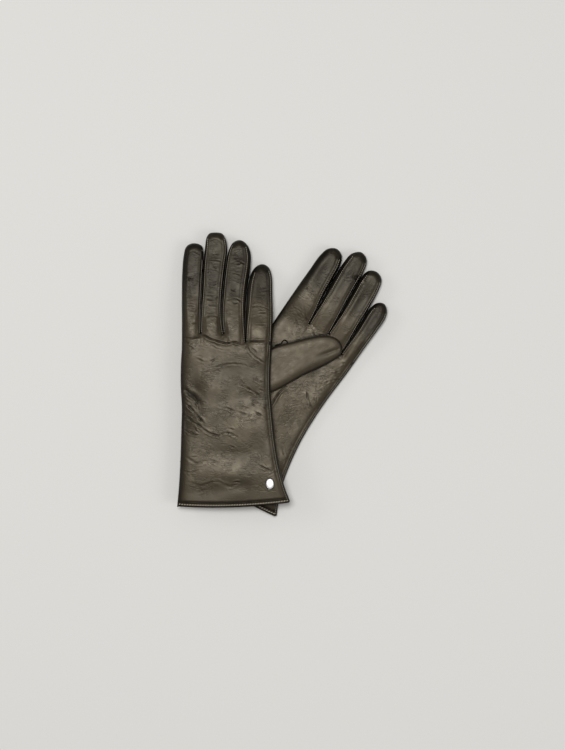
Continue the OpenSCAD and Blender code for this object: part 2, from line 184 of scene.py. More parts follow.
LEFT = {
    "side": "left",
    "runs": [
        [(-53, -1.7), (-51, 40), (-49.8, 80), (-49.4, 120), (-49.1, 150), (-48.6, 180), (-47.6, 210), (-46.5, 232),
         (-45.6, 248), (-42.4, 258.2), (-35.4, 262.9), (-27.4, 260.4), (-23.1, 251), (-21.9, 238), (-20.8, 218),
         (-18.95, 200), (-17.8, 184.7)],
        [(-17.8, 184.7), (-18.65, 200), (-20.5, 220), (-21.6, 240), (-21.7, 256), (-19.6, 267), (-12.2, 273.3),
         (-3.3, 269.6), (0.3, 257), (0.8, 240), (2.0, 220), (3.15, 203), (3.9, 186.8)],
        [(3.9, 186.8), (3.5, 203), (2.2, 222), (1.2, 240), (0.85, 252), (3.9, 261.6), (11.6, 265),
         (19.6, 261.2), (23.0, 250), (24.1, 235), (24.5, 215), (25.0, 195), (25.5, 176)],
        [(25.5, 176), (25.45, 190), (25.1, 205), (24.85, 218), (25.0, 230), (28.2, 238.6), (34.2, 242),
         (40.2, 238.8), (43.6, 231), (43.4, 215), (42.3, 197), (40.9, 164), (38.3, 130), (37.7, 100),
         (39.1, 75), (44.5, 42), (51.5, 20), (57.9, 5.2)],
    ],
    "tips": (262.3, 272.6, 264.2, 241.0),
    "gap_tops": ((-22.0, 250), (0.9, 250), (24.8, 235)),
    "hand_rim": 11.0,
    "finger_rims": (9.2, 7.6, 7.6, 7.0),
    "seams": (((2.0, 2.0), (1.6, 3.0)), ((1.6, 4.2), (1.3, 1.9)), ((1.6, 4.0), (1.5, 2.1)), ((1.7, 4.0), (2.0, 2.0))),
    "knuckles": ((-33.4, 184), (-7.2, 187), (14.4, 188), (32.8, 182)),
    "droops": (0, 0, 0, 0),
    "hand_thickness": 8.4,
    "tone": (196, 0.76, 0.5),
    "finger_tones": (-0.14, -0.04, 0.04, 0.0),
    "edge_reach": (1.1, 2.6, 6.5),
    "fork_shade": 4.5,
    "swell": (-20, 8.2),
    "thumb": [(-38, 112), (-41, 128), (-37, 143), (-20, 162.5), (-8, 175), (0.5, 182.2), (9, 186.3), (16.5, 186.4),
              (22.5, 182.6), (25.2, 176.5), (23, 168.5), (15, 154), (6, 140), (-3, 123.5), (-11.5, 108.5),
              (-20, 99.5), (-30, 101.5)],
    "thumb_root": (-27.5, 121.0),
    "thumb_angle": 52.2,
    "thumb_heights": (8.7, 15.4),
    "shadow_lines": [(1.3, [(-38.2, 144.2), (-28.2, 154.7), (-19.7, 163.4), (-8.3, 175.5)]),
               (0.8, [(-8.3, 175.5), (0.5, 182.9), (7, 186.0)])],
    "bundles": [(-30, 184, 9, 9, -18, 8), (32, 152, 5, 14, 42, 9), (28, 112, 7, 13, -48, 6), (35, 54, 7, 14, 16, 7),
                (-33, 222, 6, 24, 3, 4), (2, 181, 10, 5, -8, 5), (36, 128, 3, 10, 20, 5)],
    "folds": [
        (1.1, 0.9, [(-2.6, 119.5), (-5.0, 115.5), (-6.4, 106), (-5.8, 95)]),
        (0.5, 1.1, [(-17, 183), (-9, 179), (-1, 174), (6, 172)]),
        (0.45, 1.1, [(-18, 184), (-26, 190), (-31, 196)]),
        (0.35, 1.0, [(4, 185), (-2, 181), (-8, 180)]),
        (0.5, 1.0, [(40, 170), (34, 167), (30, 160)]),
        (0.45, 1.0, [(40, 162), (34, 158), (28, 155)]),
        (0.5, 1.0, [(40, 155), (33, 150), (28, 143)]),
        (0.35, 1.0, [(38, 140), (31, 138), (25, 132)]),
        (0.4, 1.1, [(14, 132), (20, 122), (28, 116), (36, 112)]),
        (0.35, 1.0, [(36, 103), (27, 108), (22, 118)]),
        (0.3, 1.0, [(20, 140), (25, 130), (27, 118)]),
        (0.45, 1.2, [(43, 44), (35, 46), (27, 52), (20, 54)]),
        (0.35, 1.1, [(41, 58), (33, 60), (26, 66)]),
        (0.35, 1.0, [(47, 30), (40, 33), (32, 33)]),
        (0.35, 1.0, [(-40, 190), (-33, 186), (-26, 186)]),
        (0.3, 1.0, [(-46, 205), (-38, 203), (-30, 206)]),
    ],
    "hollows": [
        (0.8, 22, 96, 12, 16), (-0.7, 30, 128, 8, 12), (0.7, 32, 70, 10, 12), (-0.6, 24, 48, 10, 10),
        (0.7, 12, 152, 8, 10), (-0.7, -28, 205, 9, 14), (0.6, -33, 235, 7, 14), (0.7, 14, 225, 6, 16),
        (0.6, -11, 230, 6, 16), (0.6, 34, 215, 5, 12), (-0.6, 33, 178, 6, 9), (0.6, -30, 178, 10, 8),
    ],
}

# The end of the left thumb's seam: it runs up the palm, turns in a small loop and goes under the thumb.
LEFT_SEAM_LOOP = [(-35, 147.5), (-32.6, 150.6), (-30.8, 153), (-30.9, 155.3), (-29.6, 157.6), (-27.2, 157.9),
                  (-25.6, 156.3), (-25.9, 153.6)]

RIM_STEP = 0.9  # between points along an outline
LINE_STEP = 1.5  # between points along a fold
FINGER_THICKNESS = 12.0
TIP_LENGTH = 5.5  # of the part of a finger that counts as its tip
SIDE_REACH = 4.9  # how far the painted edge shade beside the side seam reaches in
THUMB_FOLD = 21.0  # from a thumb's root to its crease
THUMB_SEAM = 1.9
KNIT = 0.7  # thickness of the lining
LINING_GAP = 2.3  # from the edge of the leather to the lining


def hem_height(x):
    """Height of the cut edge across the cuff."""
    return -1.7 + 0.0387 * x + 0.00088 * x * x


# ---------------------------------------------------------------------------
# Sizes and colours
# ---------------------------------------------------------------------------


def length(name, description, default):
    """A property for a length, its default in millimetres."""
    return bpy.props.FloatProperty(name=name, description=description, default=default * MM, unit="LENGTH")


def tint(name, description, code):
    """A property for a colour, its default as hex sRGB."""
    return bpy.props.FloatVectorProperty(name=name, description=description, subtype="COLOR", default=linear(code))


class GloveSizes(bpy.types.PropertyGroup):
    """Sizes that can be changed before the gloves are built"""

    skin_step: length("Skin step", "Distance between the points of the leather skin", 0.9)
    leather: length("Leather", "Thickness of the leather", 1.0)
    hem: length("Hem", "Width of the turned hem", 4.4)
    seam_inset: length("Seam inset", "Distance from the edge of a finger to its seam", 1.9)
    seam_rise: length("Seam rise", "Height of the ridge along a seam", 0.55)
    stitch_pitch: length("Stitch pitch", "Distance from one stitch to the next", 2.1)
    thread: length("Thread", "Thickness of the sewing thread", 0.7)
    fold_depth: bpy.props.FloatProperty(
        name="Fold depth", description="Share of the patterns' fold depths", default=1.0, min=0.0, max=2.0)
    fine_crease: length("Fine creases", "Height of the fine creases all over the leather", 0.24)
    badge_width: length("Badge width", "Width of the oval badge", 9)
    badge_height: length("Badge height", "Height of the oval badge", 11.4)


class GloveColours(bpy.types.PropertyGroup):
    """Colours of the leather, thread, lining, badge and table"""

    leather: tint("Leather", "Dyed nappa where it is lit", "#3b3327")
    # The dark end of the leather's colours: its darker tone, and the painted shade in hollows and at edges.
    leather_dark_and_shaded: tint("Leather, dark", "Dyed nappa in its hollows and at its edges", "#191611")
    thread: tint("Thread", "Sewing thread", "#b5ab95")
    lining: tint("Lining", "Knitted lining", "#1d1c1b")
    badge: tint("Badge", "Polished plate", "#f1f0ee")
    floor: tint("Floor", "Pale table", "#e3e1dc")


# ---------------------------------------------------------------------------
# Plane geometry on the patterns
# ---------------------------------------------------------------------------


def smooth_run(points, step):
    """A smooth curve through the points, resampled about one step apart."""
    p = np.array(points, float)
    p = np.vstack([2 * p[0] - p[1], p, 2 * p[-1] - p[-2]])
    fine = []
    for i in range(1, len(p) - 2):
        a, b, c, d = p[i - 1 : i + 3]
        t1 = math.sqrt(np.linalg.norm(b - a))
        t2 = t1 + math.sqrt(np.linalg.norm(c - b))
        t3 = t2 + math.sqrt(np.linalg.norm(d - c))
        for t in np.linspace(t1, t2, 12, endpoint=False):
            q1 = (t1 - t) / t1 * a + t / t1 * b
            q2 = (t2 - t) / (t2 - t1) * b + (t - t1) / (t2 - t1) * c
            q3 = (t3 - t) / (t3 - t2) * c + (t - t2) / (t3 - t2) * d
            r1 = (t2 - t) / t2 * q1 + t / t2 * q2
            r2 = (t3 - t) / (t3 - t1) * q2 + (t - t1) / (t3 - t1) * q3
            fine.append((t2 - t) / (t2 - t1) * r1 + (t - t1) / (t2 - t1) * r2)
    fine.append(p[-2])
    fine = np.array(fine)
    s = np.concatenate([[0], np.cumsum(np.linalg.norm(np.diff(fine, axis=0), axis=1))])
    n = max(2, int(round(s[-1] / step)))
    at = np.linspace(0, s[-1], n + 1)
    return np.column_stack([np.interp(at, s, fine[:, k]) for k in (0, 1)])


def line_distance(points, line, closed=False):
    """Distance of each point from a polyline, and the index of its nearest vertex."""
    tree = kdtree.KDTree(len(line))
    for i, (x, y) in enumerate(line):
        tree.insert((x, y, 0), i)
    tree.balance()
    near = np.array([tree.find((x, y, 0))[1] for x, y in points], int)
    best = np.linalg.norm(points - line[near], axis=1)
    last = len(line) - 1
    for step in (-1, 1):
        other = (near + step) % len(line) if closed else np.clip(near + step, 0, last)
        a, ab = line[near], line[other] - line[near]
        t = np.clip(((points - a) * ab).sum(1) / np.maximum((ab**2).sum(1), 1e-9), 0, 1)
        best = np.minimum(best, np.linalg.norm(points - a - t[:, None] * ab, axis=1))
    return best, near


def inside(points, loop):
    """Which points lie inside a closed outline."""
    hit = np.zeros(len(points), bool)
    x, y = points[:, 0], points[:, 1]
    for (x1, y1), (x2, y2) in zip(loop, np.roll(loop, -1, axis=0)):
        if y1 != y2:
            crosses = (y1 > y) != (y2 > y)
            hit ^= crosses & (x < (x2 - x1) * (y - y1) / (y2 - y1) + x1)
    return hit


def smoothstep(value, low, high):
    """0 below low, 1 above high and a smooth rise between."""
    t = np.clip((value - low) / (high - low), 0, 1)
    return t * t * (3 - 2 * t)


def bell(value, middle, width, power=2):
    """1 at the middle, falling smoothly to 0 within a few widths."""
    return np.exp(-(((value - middle) / width) ** power))


def rounded(share, power):
    """Height of a rounded edge, 0 at its foot and 1 at its top, at a share of the way in."""
    return (1 - (1 - share) ** power) ** (1 / power)


def beside(points, line, reach):
    """Which points lie in the box round a line, widened by a reach."""
    return (points > line.min(0) - reach).all(1) & (points < line.max(0) + reach).all(1)


def smooth_ramp(value, width=9):
    """Values along the rim with their steps softened."""
    kernel = np.hanning(width)
    return np.convolve(np.pad(value, width // 2, mode="edge"), kernel / kernel.sum(), mode="valid")


def field(points, angle, long, short, seed, octaves=2):
    """Smooth noise drawn out along an angle, about -1 to 1."""
    c, s = math.cos(math.radians(angle)), math.sin(math.radians(angle))
    out = np.empty(len(points))
    for i, (x, y) in enumerate(points):
        v = Vector(((x * c + y * s) / long, (y * c - x * s) / short, seed))
        value = noise.noise(v)
        if octaves > 1:
            value += 0.5 * noise.noise(v * 2.1)
        out[i] = value
    return out


def branched(folds):
    """The folds as smooth lines, each with finer creases that leave it at a shallow angle."""
    rng = np.random.default_rng(11)
    made = []
    for depth, width, line in folds:
        line = smooth_run(line, LINE_STEP)
        made.append((depth, width, line))
        for _ in range(3 if depth > 0.7 else 2):
            start = rng.integers(0, max(1, len(line) - 4))
            way = line[min(start + 3, len(line) - 1)] - line[start]
            length = rng.uniform(6, 13)
            turn = math.radians(rng.uniform(9, 34)) * rng.choice((-1, 1))
            c, s = math.cos(turn), math.sin(turn)
            way = np.array([way[0] * c - way[1] * s, way[0] * s + way[1] * c]) / max(np.linalg.norm(way), 0.1)
            side = np.array([-way[1], way[0]])
            foot = line[start] + side * rng.uniform(-2.2, 2.2)
            bow = rng.uniform(-1.2, 1.2)
            small = [foot, foot + way * length * 0.5 + side * bow, foot + way * length]
            made.append((0.5 * min(depth, 0.9), 0.8, smooth_run(small, LINE_STEP)))
    return made


def bundled(bundles):
    """Short, slightly bowed creases scattered round a place, nearly side by side."""
    rng = np.random.default_rng(23)
    made = []
    for x, y, wide, tall, angle, count in bundles:
        for _ in range(count):
            a = math.radians(angle + rng.uniform(-14, 14))
            way = np.array([math.cos(a), math.sin(a)])
            side = np.array([-way[1], way[0]])
            middle = np.array([x + rng.uniform(-wide, wide), y + rng.uniform(-tall, tall)])
            length, bow = rng.uniform(4, 12), rng.uniform(-0.9, 0.9)
            line = [middle - way * length / 2, middle + side * bow, middle + way * length / 2]
            made.append((rng.uniform(0.2, 0.45), 0.85, smooth_run(line, LINE_STEP)))
    return made


def creased(points, angle, long, short, seed):
    """Sharp-bottomed creases between soft swellings, 0 at a crease and 1 between them."""
    return np.clip(np.abs(field(points, angle, long, short, seed)) * 2.4, 0, 1) ** 0.6


# ---------------------------------------------------------------------------
# How each glove lies
# ---------------------------------------------------------------------------


class Lay:
    """One glove's outline and the heights of its leather, all in millimetres."""

    def __init__(self, pattern, sizes):
        self.pattern = pattern
        self.side = pattern["side"]
        self.is_right = self.side == "right"
        self.seam_rise, self.hem, self.fine_crease = (v / MM for v in (sizes.seam_rise, sizes.hem, sizes.fine_crease))
        self.fold_depth = sizes.fold_depth
        self.knuckles, self.hand_t = pattern["knuckles"], pattern["hand_thickness"]
        index, little = (Vector(JOINTS[f"{self.side}_{f}_bend"]["pos_m"]) / MM for f in ("index", "little"))
        x, y = self.knuckles[0]
        if self.is_right:
            # The right glove leans on the left one, about the axis its thumb swings on.
            axis = JOINTS["right_thumb_swing"]["axis"]
            self.tilt, self.turn = math.atan2(-axis[0], axis[2]), 0.0
            c, s = math.cos(self.tilt), math.sin(self.tilt)
            # The pattern lies in the glove's middle surface, half its thickness under the knuckle hinge.
            self.origin = Vector((index.x - x * c + self.hand_t / 2 * s, index.y - y))
            self.lift = index.z - x * s - self.hand_t * c
        else:
            # The left one lies flat, turned so that its knuckles meet their hinges.
            self.tilt, self.lift = 0.0, 0.0
            last, across = self.knuckles[3], little - index
            self.turn = math.atan2(last[1] - y, last[0] - x) - math.atan2(across.y, across.x)
            c, s = math.cos(self.turn), math.sin(self.turn)
            self.origin = Vector((index.x - x * c - y * s, index.y + x * s - y * c))
        runs = [smooth_run(r, RIM_STEP) for r in pattern["runs"]]
        self.rim = np.vstack([runs[0]] + [r[1:] for r in runs[1:]])
        self.crotches = [np.array(r[-1]) for r in pattern["runs"][:3]]
        # What each point of the rim is: a fold, a fork beside a finger, a fingertip or the side seam.
        kinds, owners = [], []
        for i, run in enumerate(runs):
            top = run[:, 1].argmax()
            for j, (x, y) in enumerate(run if i == 0 else run[1:]):
                plain = "fold" if i == 0 and j <= top else "seam" if i == 3 and j > top else "fork"
                kinds.append("tip" if y > pattern["tips"][i] - TIP_LENGTH else plain)
                owners.append(i)
        self.kind, self.finger_of_rim = np.array(kinds), np.array(owners)
        self.folds = branched(pattern["folds"]) + bundled(pattern["bundles"])
        self.inset = self.seam_insets(sizes.seam_inset / MM / 1.9)
        x0, x1 = self.rim[0][0], self.rim[-1][0]
        xs = np.linspace(x1, x0, int(abs(x1 - x0) / 1.1) + 1)
        cut = np.column_stack([xs, hem_height(xs)])
        self.loop = np.vstack([self.rim, cut[1:-1]])
        fork, tip, fold = (self.kind == kind for kind in ("fork", "tip", "fold"))
        self.sew_line = smooth_ramp(np.where(fold, 0.0, np.where(tip, 0.12, 1.0)))
        self.edge_reach = smooth_ramp(np.select([fork, tip, fold], pattern["edge_reach"], SIDE_REACH))

    def seam_insets(self, share):
        """Distance of the seam from each point of the rim."""
        inset = np.empty(len(self.rim))
        for i, sides in enumerate(self.pattern["seams"]):
            own = np.nonzero(self.finger_of_rim == i)[0]
            top = own[self.rim[own, 1].argmax()]
            for k in own:
                root, far = sides[0] if k <= top else sides[1]
                foot = self.crotches[min(i, 2) if k > top else max(i - 1, 0)][1]
                t = (self.rim[k, 1] - foot) / (self.rim[top, 1] - foot)
                inset[k] = root + (far - root) * smoothstep(t, 0.0, 0.5) - (far - 1.6) * smoothstep(t, 0.88, 1.0)
        return share * smooth_ramp(inset, 13)

    def nearest(self, p):
        """Index of the rim point nearest to each point."""
        return line_distance(p, self.rim)[1]

    def finger_at(self, p):
        """Which finger's leather each point belongs to, by the gaps between them."""
        which = np.zeros(len(p), int)
        for crotch, top in zip(self.crotches, self.pattern["gap_tops"]):
            t = np.clip((p[:, 1] - crotch[1]) / (top[1] - crotch[1]), 0, 1.3)
            which += p[:, 0] > crotch[0] + (top[0] - crotch[0]) * t
        return which

    def middle(self, p):
        """Height of the glove's middle surface and half its thickness."""
        f = self.finger_at(p)
        kx, ky = np.array(self.knuckles, float)[f].T
        past = p[:, 1] - ky
        w = smoothstep(past, -14, 22)
        beyond = 0.5 * (past + np.sqrt(past**2 + 60)) * smoothstep(past, -40, 6)
        half_hand, half_finger = self.hand_t / 2, FINGER_THICKNESS / 2
        half = half_hand + (half_finger - half_hand) * w
        s = math.sin(self.tilt)
        if self.is_right:
            mid = self.lift + s * (p[:, 0] * (1 - w) + kx * w) + half_hand * (1 - w) + (self.hand_t - half_finger) * w
            mid -= np.tan(np.radians(np.array(self.pattern["droops"])[f])) * beyond
            mid = np.maximum(mid, half + 0.15)
        else:
            mid = half.copy()
        return mid, half, w, f

    def creases(self, p):
        """Depth of the folds at each point, and how dark the painted shade is along their bottoms and along the
        painted shadow lines.
        """
        crease, drawn = np.zeros(len(p)), np.zeros(len(p))
        wander = field(p, 0, 4.5, 4.5, 9.1, 1)
        strength = np.clip(0.62 + 1.1 * field(p, 0, 7, 7, 4.9, 1), 0.12, 1.2)
        for depth, width, line in self.folds:
            # A deep fold keeps to its line. A fine one is narrower, wanders more, and comes and goes.
            deep = depth > 0.85
            width = (0.85 if deep else 0.62) * width
            box = beside(p, line, 5 * width)
            if not box.any():
                continue
            s, k = line_distance(p[box], line)
            s = np.abs(s + (0.45 if deep else 0.9) * wander[box])
            along = k / (len(line) - 1)
            fade = np.minimum(1, 0.35 + 2.6 * np.minimum(along, 1 - along))
            fade = fade * (0.75 + 0.25 * strength[box] if deep else strength[box])
            wave = bell(s, 0, width) - 0.55 * bell(s, 2.1 * width, 1.3 * width)
            crease[box] += 0.75 * depth * fade * wave
            # Painted shade along the bottom of the fold.
            line_shade = min(1, 1.4 * depth) * fade * bell(s, 0, 0.68 if deep else 0.6)
            drawn[box] = np.maximum(drawn[box], line_shade)
        # Painted shadow along the shadow lines, such as the one the left thumb's edge casts on its palm.
        for width, line in self.pattern["shadow_lines"]:
            line = smooth_run(line, LINE_STEP)
            box = beside(p, line, 3 * width)
            s, _ = line_distance(p[box], line)
            drawn[box] = np.maximum(drawn[box], bell(s, 0, width, 4))
        return crease * self.fold_depth, drawn

    def sample(self, p):
        """Heights and shading values for any points inside the outline."""
        d, near = line_distance(p, self.rim)
        mid, half, w, f = self.middle(p)
        # A sewn finger climbs mostly within its fork and is nearly flat between its seams.
        sewn = self.sew_line[near]
        finger_rim = (1 - sewn) * np.array(self.pattern["finger_rims"])[f] + sewn * (1.8 * self.inset[near] + 1.6)
        rim = self.pattern["hand_rim"] * (1 - w) + finger_rim * w
        crown = rounded(np.clip(d / rim, 0, 1), 2.45 - 0.35 * w)
        flat = rounded(np.clip(d / (0.7 * rim), 0, 1), 2.4)
        fold, drawn = self.creases(p)
        broad = np.zeros(len(p))
        for depth, x, y, rx, ry in self.pattern["hollows"]:
            broad += depth * np.exp(-(((p[:, 0] - x) / rx) ** 2 + ((p[:, 1] - y) / ry) ** 2))
        angle, seed = self.pattern["swell"]
        swell = 0.55 * field(p, angle, 34, 19, seed, 1)
        # Fine creases: slanting over the hand, across the fingers, patchy everywhere.
        slant = 0.55 * creased(p, -32, 15, 6.0, 1.3) + 0.45 * creased(p, 24, 11, 4.2, 5.1)
        across = 0.6 * creased(p, 6, 13, 4.6, 2.2) + 0.4 * creased(p, -14, 8, 3.2, 7.4)
        patch = np.clip(0.62 + 0.9 * field(p, 10, 26, 22, 6.6, 1), 0.12, 1.25)
        fine = ((1 - w) * slant + w * across - 0.6) * patch
        free = smoothstep(d, 0.4, 5.0)
        lump = free * (self.fine_crease * (0.25 + 0.4 * w) * fine - fold - 0.95 * broad + swell)
        # Each seam is a low ridge with a groove on its outer side and a faint one on its inner side.
        from_seam = d - self.inset[near]
        ridge = bell(from_seam, 0.5, 0.8) - 0.2 * bell(from_seam, 2.3, 0.9) - 0.6 * bell(from_seam, -1.1, 0.6)
        ridge = self.seam_rise * sewn * ridge
        # The turned hem is a flat band with a groove above it. The cuff thins towards it.
        from_cut = p[:, 1] - hem_height(p[:, 0])
        hem = 0.6 * bell(from_cut, self.hem * 0.42, self.hem * 0.36, 4) - 1.2 * bell(from_cut - self.hem, 0.2, 0.9)
        cuff = smoothstep(from_cut, 0, 26)
        thin = 0.80 + 0.20 * cuff
        top = mid + half * crown * thin + lump * (0.35 + 0.65 * cuff) + ridge + hem * crown * 0.8
        bottom = mid - half * flat * (thin if self.is_right else 1.0)
        # Painted shade: on edges that roll away, along the folds, in the hem's groove, along the cut edge, beside the
        # seams, and lightly over the hem band.
        groove = bell(from_cut - self.hem, 0.2, 1.0) + 0.95 * bell(from_cut, 0, 1.5)
        groove += 0.35 * bell(from_cut, self.hem * 0.5, self.hem * 0.5, 4)
        welt = 0.4 * sewn * bell(from_seam, 0.1, 0.45)
        edge = np.maximum.reduce([bell(d, 0, self.edge_reach[near], 1.5), 0.95 * drawn, groove, welt])
        # Tone and painted shading: the leather's tone, lighter near the hem and stepped for each finger. Painted shade
        # darkens the fingers, more so towards their tips, and the folds, the broad hollows and the bottoms of the fine
        # creases. Painted light brightens the swellings.
        start, tone, tip_shade = self.pattern["tone"]
        far = smoothstep(p[:, 1], start, np.array(self.pattern["tips"])[f] - 14)
        tone = tone + 0.1 * (1 - smoothstep(p[:, 1], 60, 120)) + w * np.array(self.pattern["finger_tones"])[f]
        tone_and_shading = tone - 0.5 * fold + 0.15 * fine - 0.22 * broad - 0.16 * w - tip_shade * far
        # The fork value is the painted shadow of the slits between the fingers, darkest at the rim.
        return {"d": d, "mid": mid, "top": np.maximum(top, mid + 0.02), "bottom": np.maximum(bottom, 0.02),
                "edge": np.clip(edge, 0, 1), "tone_and_shading": np.clip(tone_and_shading, 0, 1),
                "fork": bell(d, 0, self.pattern["fork_shade"], 1.6)}

    def world(self, p, z):
        """Points in the pair's frame, in metres."""
        if self.is_right:
            x = self.origin.x + p[:, 0] * math.cos(self.tilt)
            y = self.origin.y + p[:, 1]
        else:
            c, s = math.cos(self.turn), math.sin(self.turn)
            x = self.origin.x + p[:, 0] * c + p[:, 1] * s
            y = self.origin.y - p[:, 0] * s + p[:, 1] * c
        return np.column_stack([x, y, z]) * MM

    def world_direction(self, x, y):
        """A direction on the pattern, in the pair's frame."""
        c, s = math.cos(self.turn), math.sin(self.turn)
        return Vector((x * c + y * s, -x * s + y * c, 0))


# ---------------------------------------------------------------------------
# The leather skin
# ---------------------------------------------------------------------------


def inward(rim, closed):
    """The directions that point inwards from each point of a rim."""
    tangent = np.roll(rim, -1, axis=0) - np.roll(rim, 1, axis=0)
    if not closed:
        tangent[0], tangent[-1] = rim[1] - rim[0], rim[-1] - rim[-2]
    normal = np.column_stack([tangent[:, 1], -tangent[:, 0]])
    return normal / np.linalg.norm(normal, axis=1)[:, None]


def plan_mesh(rim, loop, edges_in, rings, step):
    """Points and triangles that fill an outline, with rings of points along its rim.

    A ring is how far it lies inside the rim, and whether its points are joined by edges.
    """
    points = [loop]
    count = len(loop)
    constraints = [(i, (i + 1) % count) for i in range(count)]
    normal = inward(rim, closed=False)
    for offset, keep in rings:
        offset = np.broadcast_to(offset, len(rim))
        q = rim + normal * offset[:, None]
        d, _ = line_distance(q, rim)
        good = (d > offset * 0.9) & inside(q, loop)
        index = np.full(len(q), -1)
        index[good] = count + np.arange(good.sum())
        points.append(q[good])
        count += good.sum()
        if keep:
            for i in range(len(q) - 1):
                if index[i] >= 0 and index[i + 1] >= 0:
                    constraints.append((index[i], index[i + 1]))
    for line in edges_in:
        points.append(line)
        constraints += [(count + i, count + i + 1) for i in range(len(line) - 1)]
        count += len(line)
    # Inside the rings, a grid of even triangles that keeps clear of every line.
    low, high = loop.min(0), loop.max(0)
    rows = []
    for r, y in enumerate(np.arange(low[1], high[1], step * 0.866)):
        xs = np.arange(low[0] + (r % 2) * step / 2, high[0], step)
        rows.append(np.column_stack([xs, np.full(len(xs), y)]))
    grid = np.vstack(rows)
    grid = grid[inside(grid, loop)]
    d, near = line_distance(grid, rim)
    grid = grid[d > np.broadcast_to(rings[-1][0], len(rim))[near] + step * 0.55]
    for line in edges_in:
        grid = grid[line_distance(grid, line)[0] > step * 0.45]
    points.append(grid[line_distance(grid, loop, closed=True)[0] > step * 0.5])
    flat = np.vstack(points)
    verts, _, faces, _, _, _ = geometry.delaunay_2d_cdt([Vector(p) for p in flat], constraints, [], 0, 1e-4)
    verts = np.array([tuple(v) for v in verts])
    faces = np.array([f for f in faces if len(f) == 3])
    middle = verts[faces].mean(1)
    faces = faces[inside(middle, loop)]
    a, b, c = (verts[faces[:, k]] for k in range(3))
    turn = (b[:, 0] - a[:, 0]) * (c[:, 1] - a[:, 1]) - (b[:, 1] - a[:, 1]) * (c[:, 0] - a[:, 0])
    faces[turn < 0] = faces[turn < 0][:, ::-1]
    return verts, faces[np.abs(turn) > 1e-7]


def new_piece(name, coords, faces, material, attributes=None):
    """A mesh object at the origin, smooth, with its float attributes."""
    mesh = bpy.data.meshes.new(name)
    mesh.from_pydata([tuple(c) for c in coords], [], [tuple(int(i) for i in f) for f in faces])
    mesh.materials.append(material)
    for key, values in (attributes or {}).items():
        mesh.attributes.new(key, "FLOAT", "POINT").data.foreach_set("value", np.asarray(values, np.float32))
    mesh.polygons.foreach_set("use_smooth", [True] * len(mesh.polygons))
    piece = bpy.data.objects.new(name, mesh)
    bpy.context.scene.collection.objects.link(piece)
    return piece


def choose(piece):
    """Selects one object alone and makes it active."""
    bpy.ops.object.select_all(action="DESELECT")
    piece.select_set(True)
    bpy.context.view_layer.objects.active = piece


def give_wall(piece, thickness):
    """Gives a sheet its leather thickness inwards and closes its edges."""
    choose(piece)
    wall = piece.modifiers.new("wall", "SOLIDIFY")
    wall.thickness = thickness
    wall.offset = -1
    wall.use_even_offset = False
    bpy.ops.object.modifier_apply(modifier=wall.name)


def keep_normals(piece, count, normals):
    """Shades the outer face with the whole skin's normals, so no line shows where pieces meet."""
    mesh = piece.data
    custom = np.zeros((len(mesh.vertices), 3))
    custom[:count] = normals
    mesh.normals_split_custom_set_from_vertices([tuple(n) for n in custom])


def vertex_normals(coords, faces):
    """Each point's normal, from the faces round it by their area."""
    a, b, c = (coords[faces[:, k]] for k in range(3))
    area = np.cross(b - a, c - a)
    total = np.zeros_like(coords)
    for k in range(3):
        np.add.at(total, faces[:, k], area)
    return total / np.maximum(np.linalg.norm(total, axis=1)[:, None], 1e-12)


def within(line, lay, gap):
    """The points of a line that lie inside the glove's outline and further than a gap from its rim."""
    line = line[inside(line, lay.loop)]
    return line[line_distance(line, lay.rim)[0] > gap]


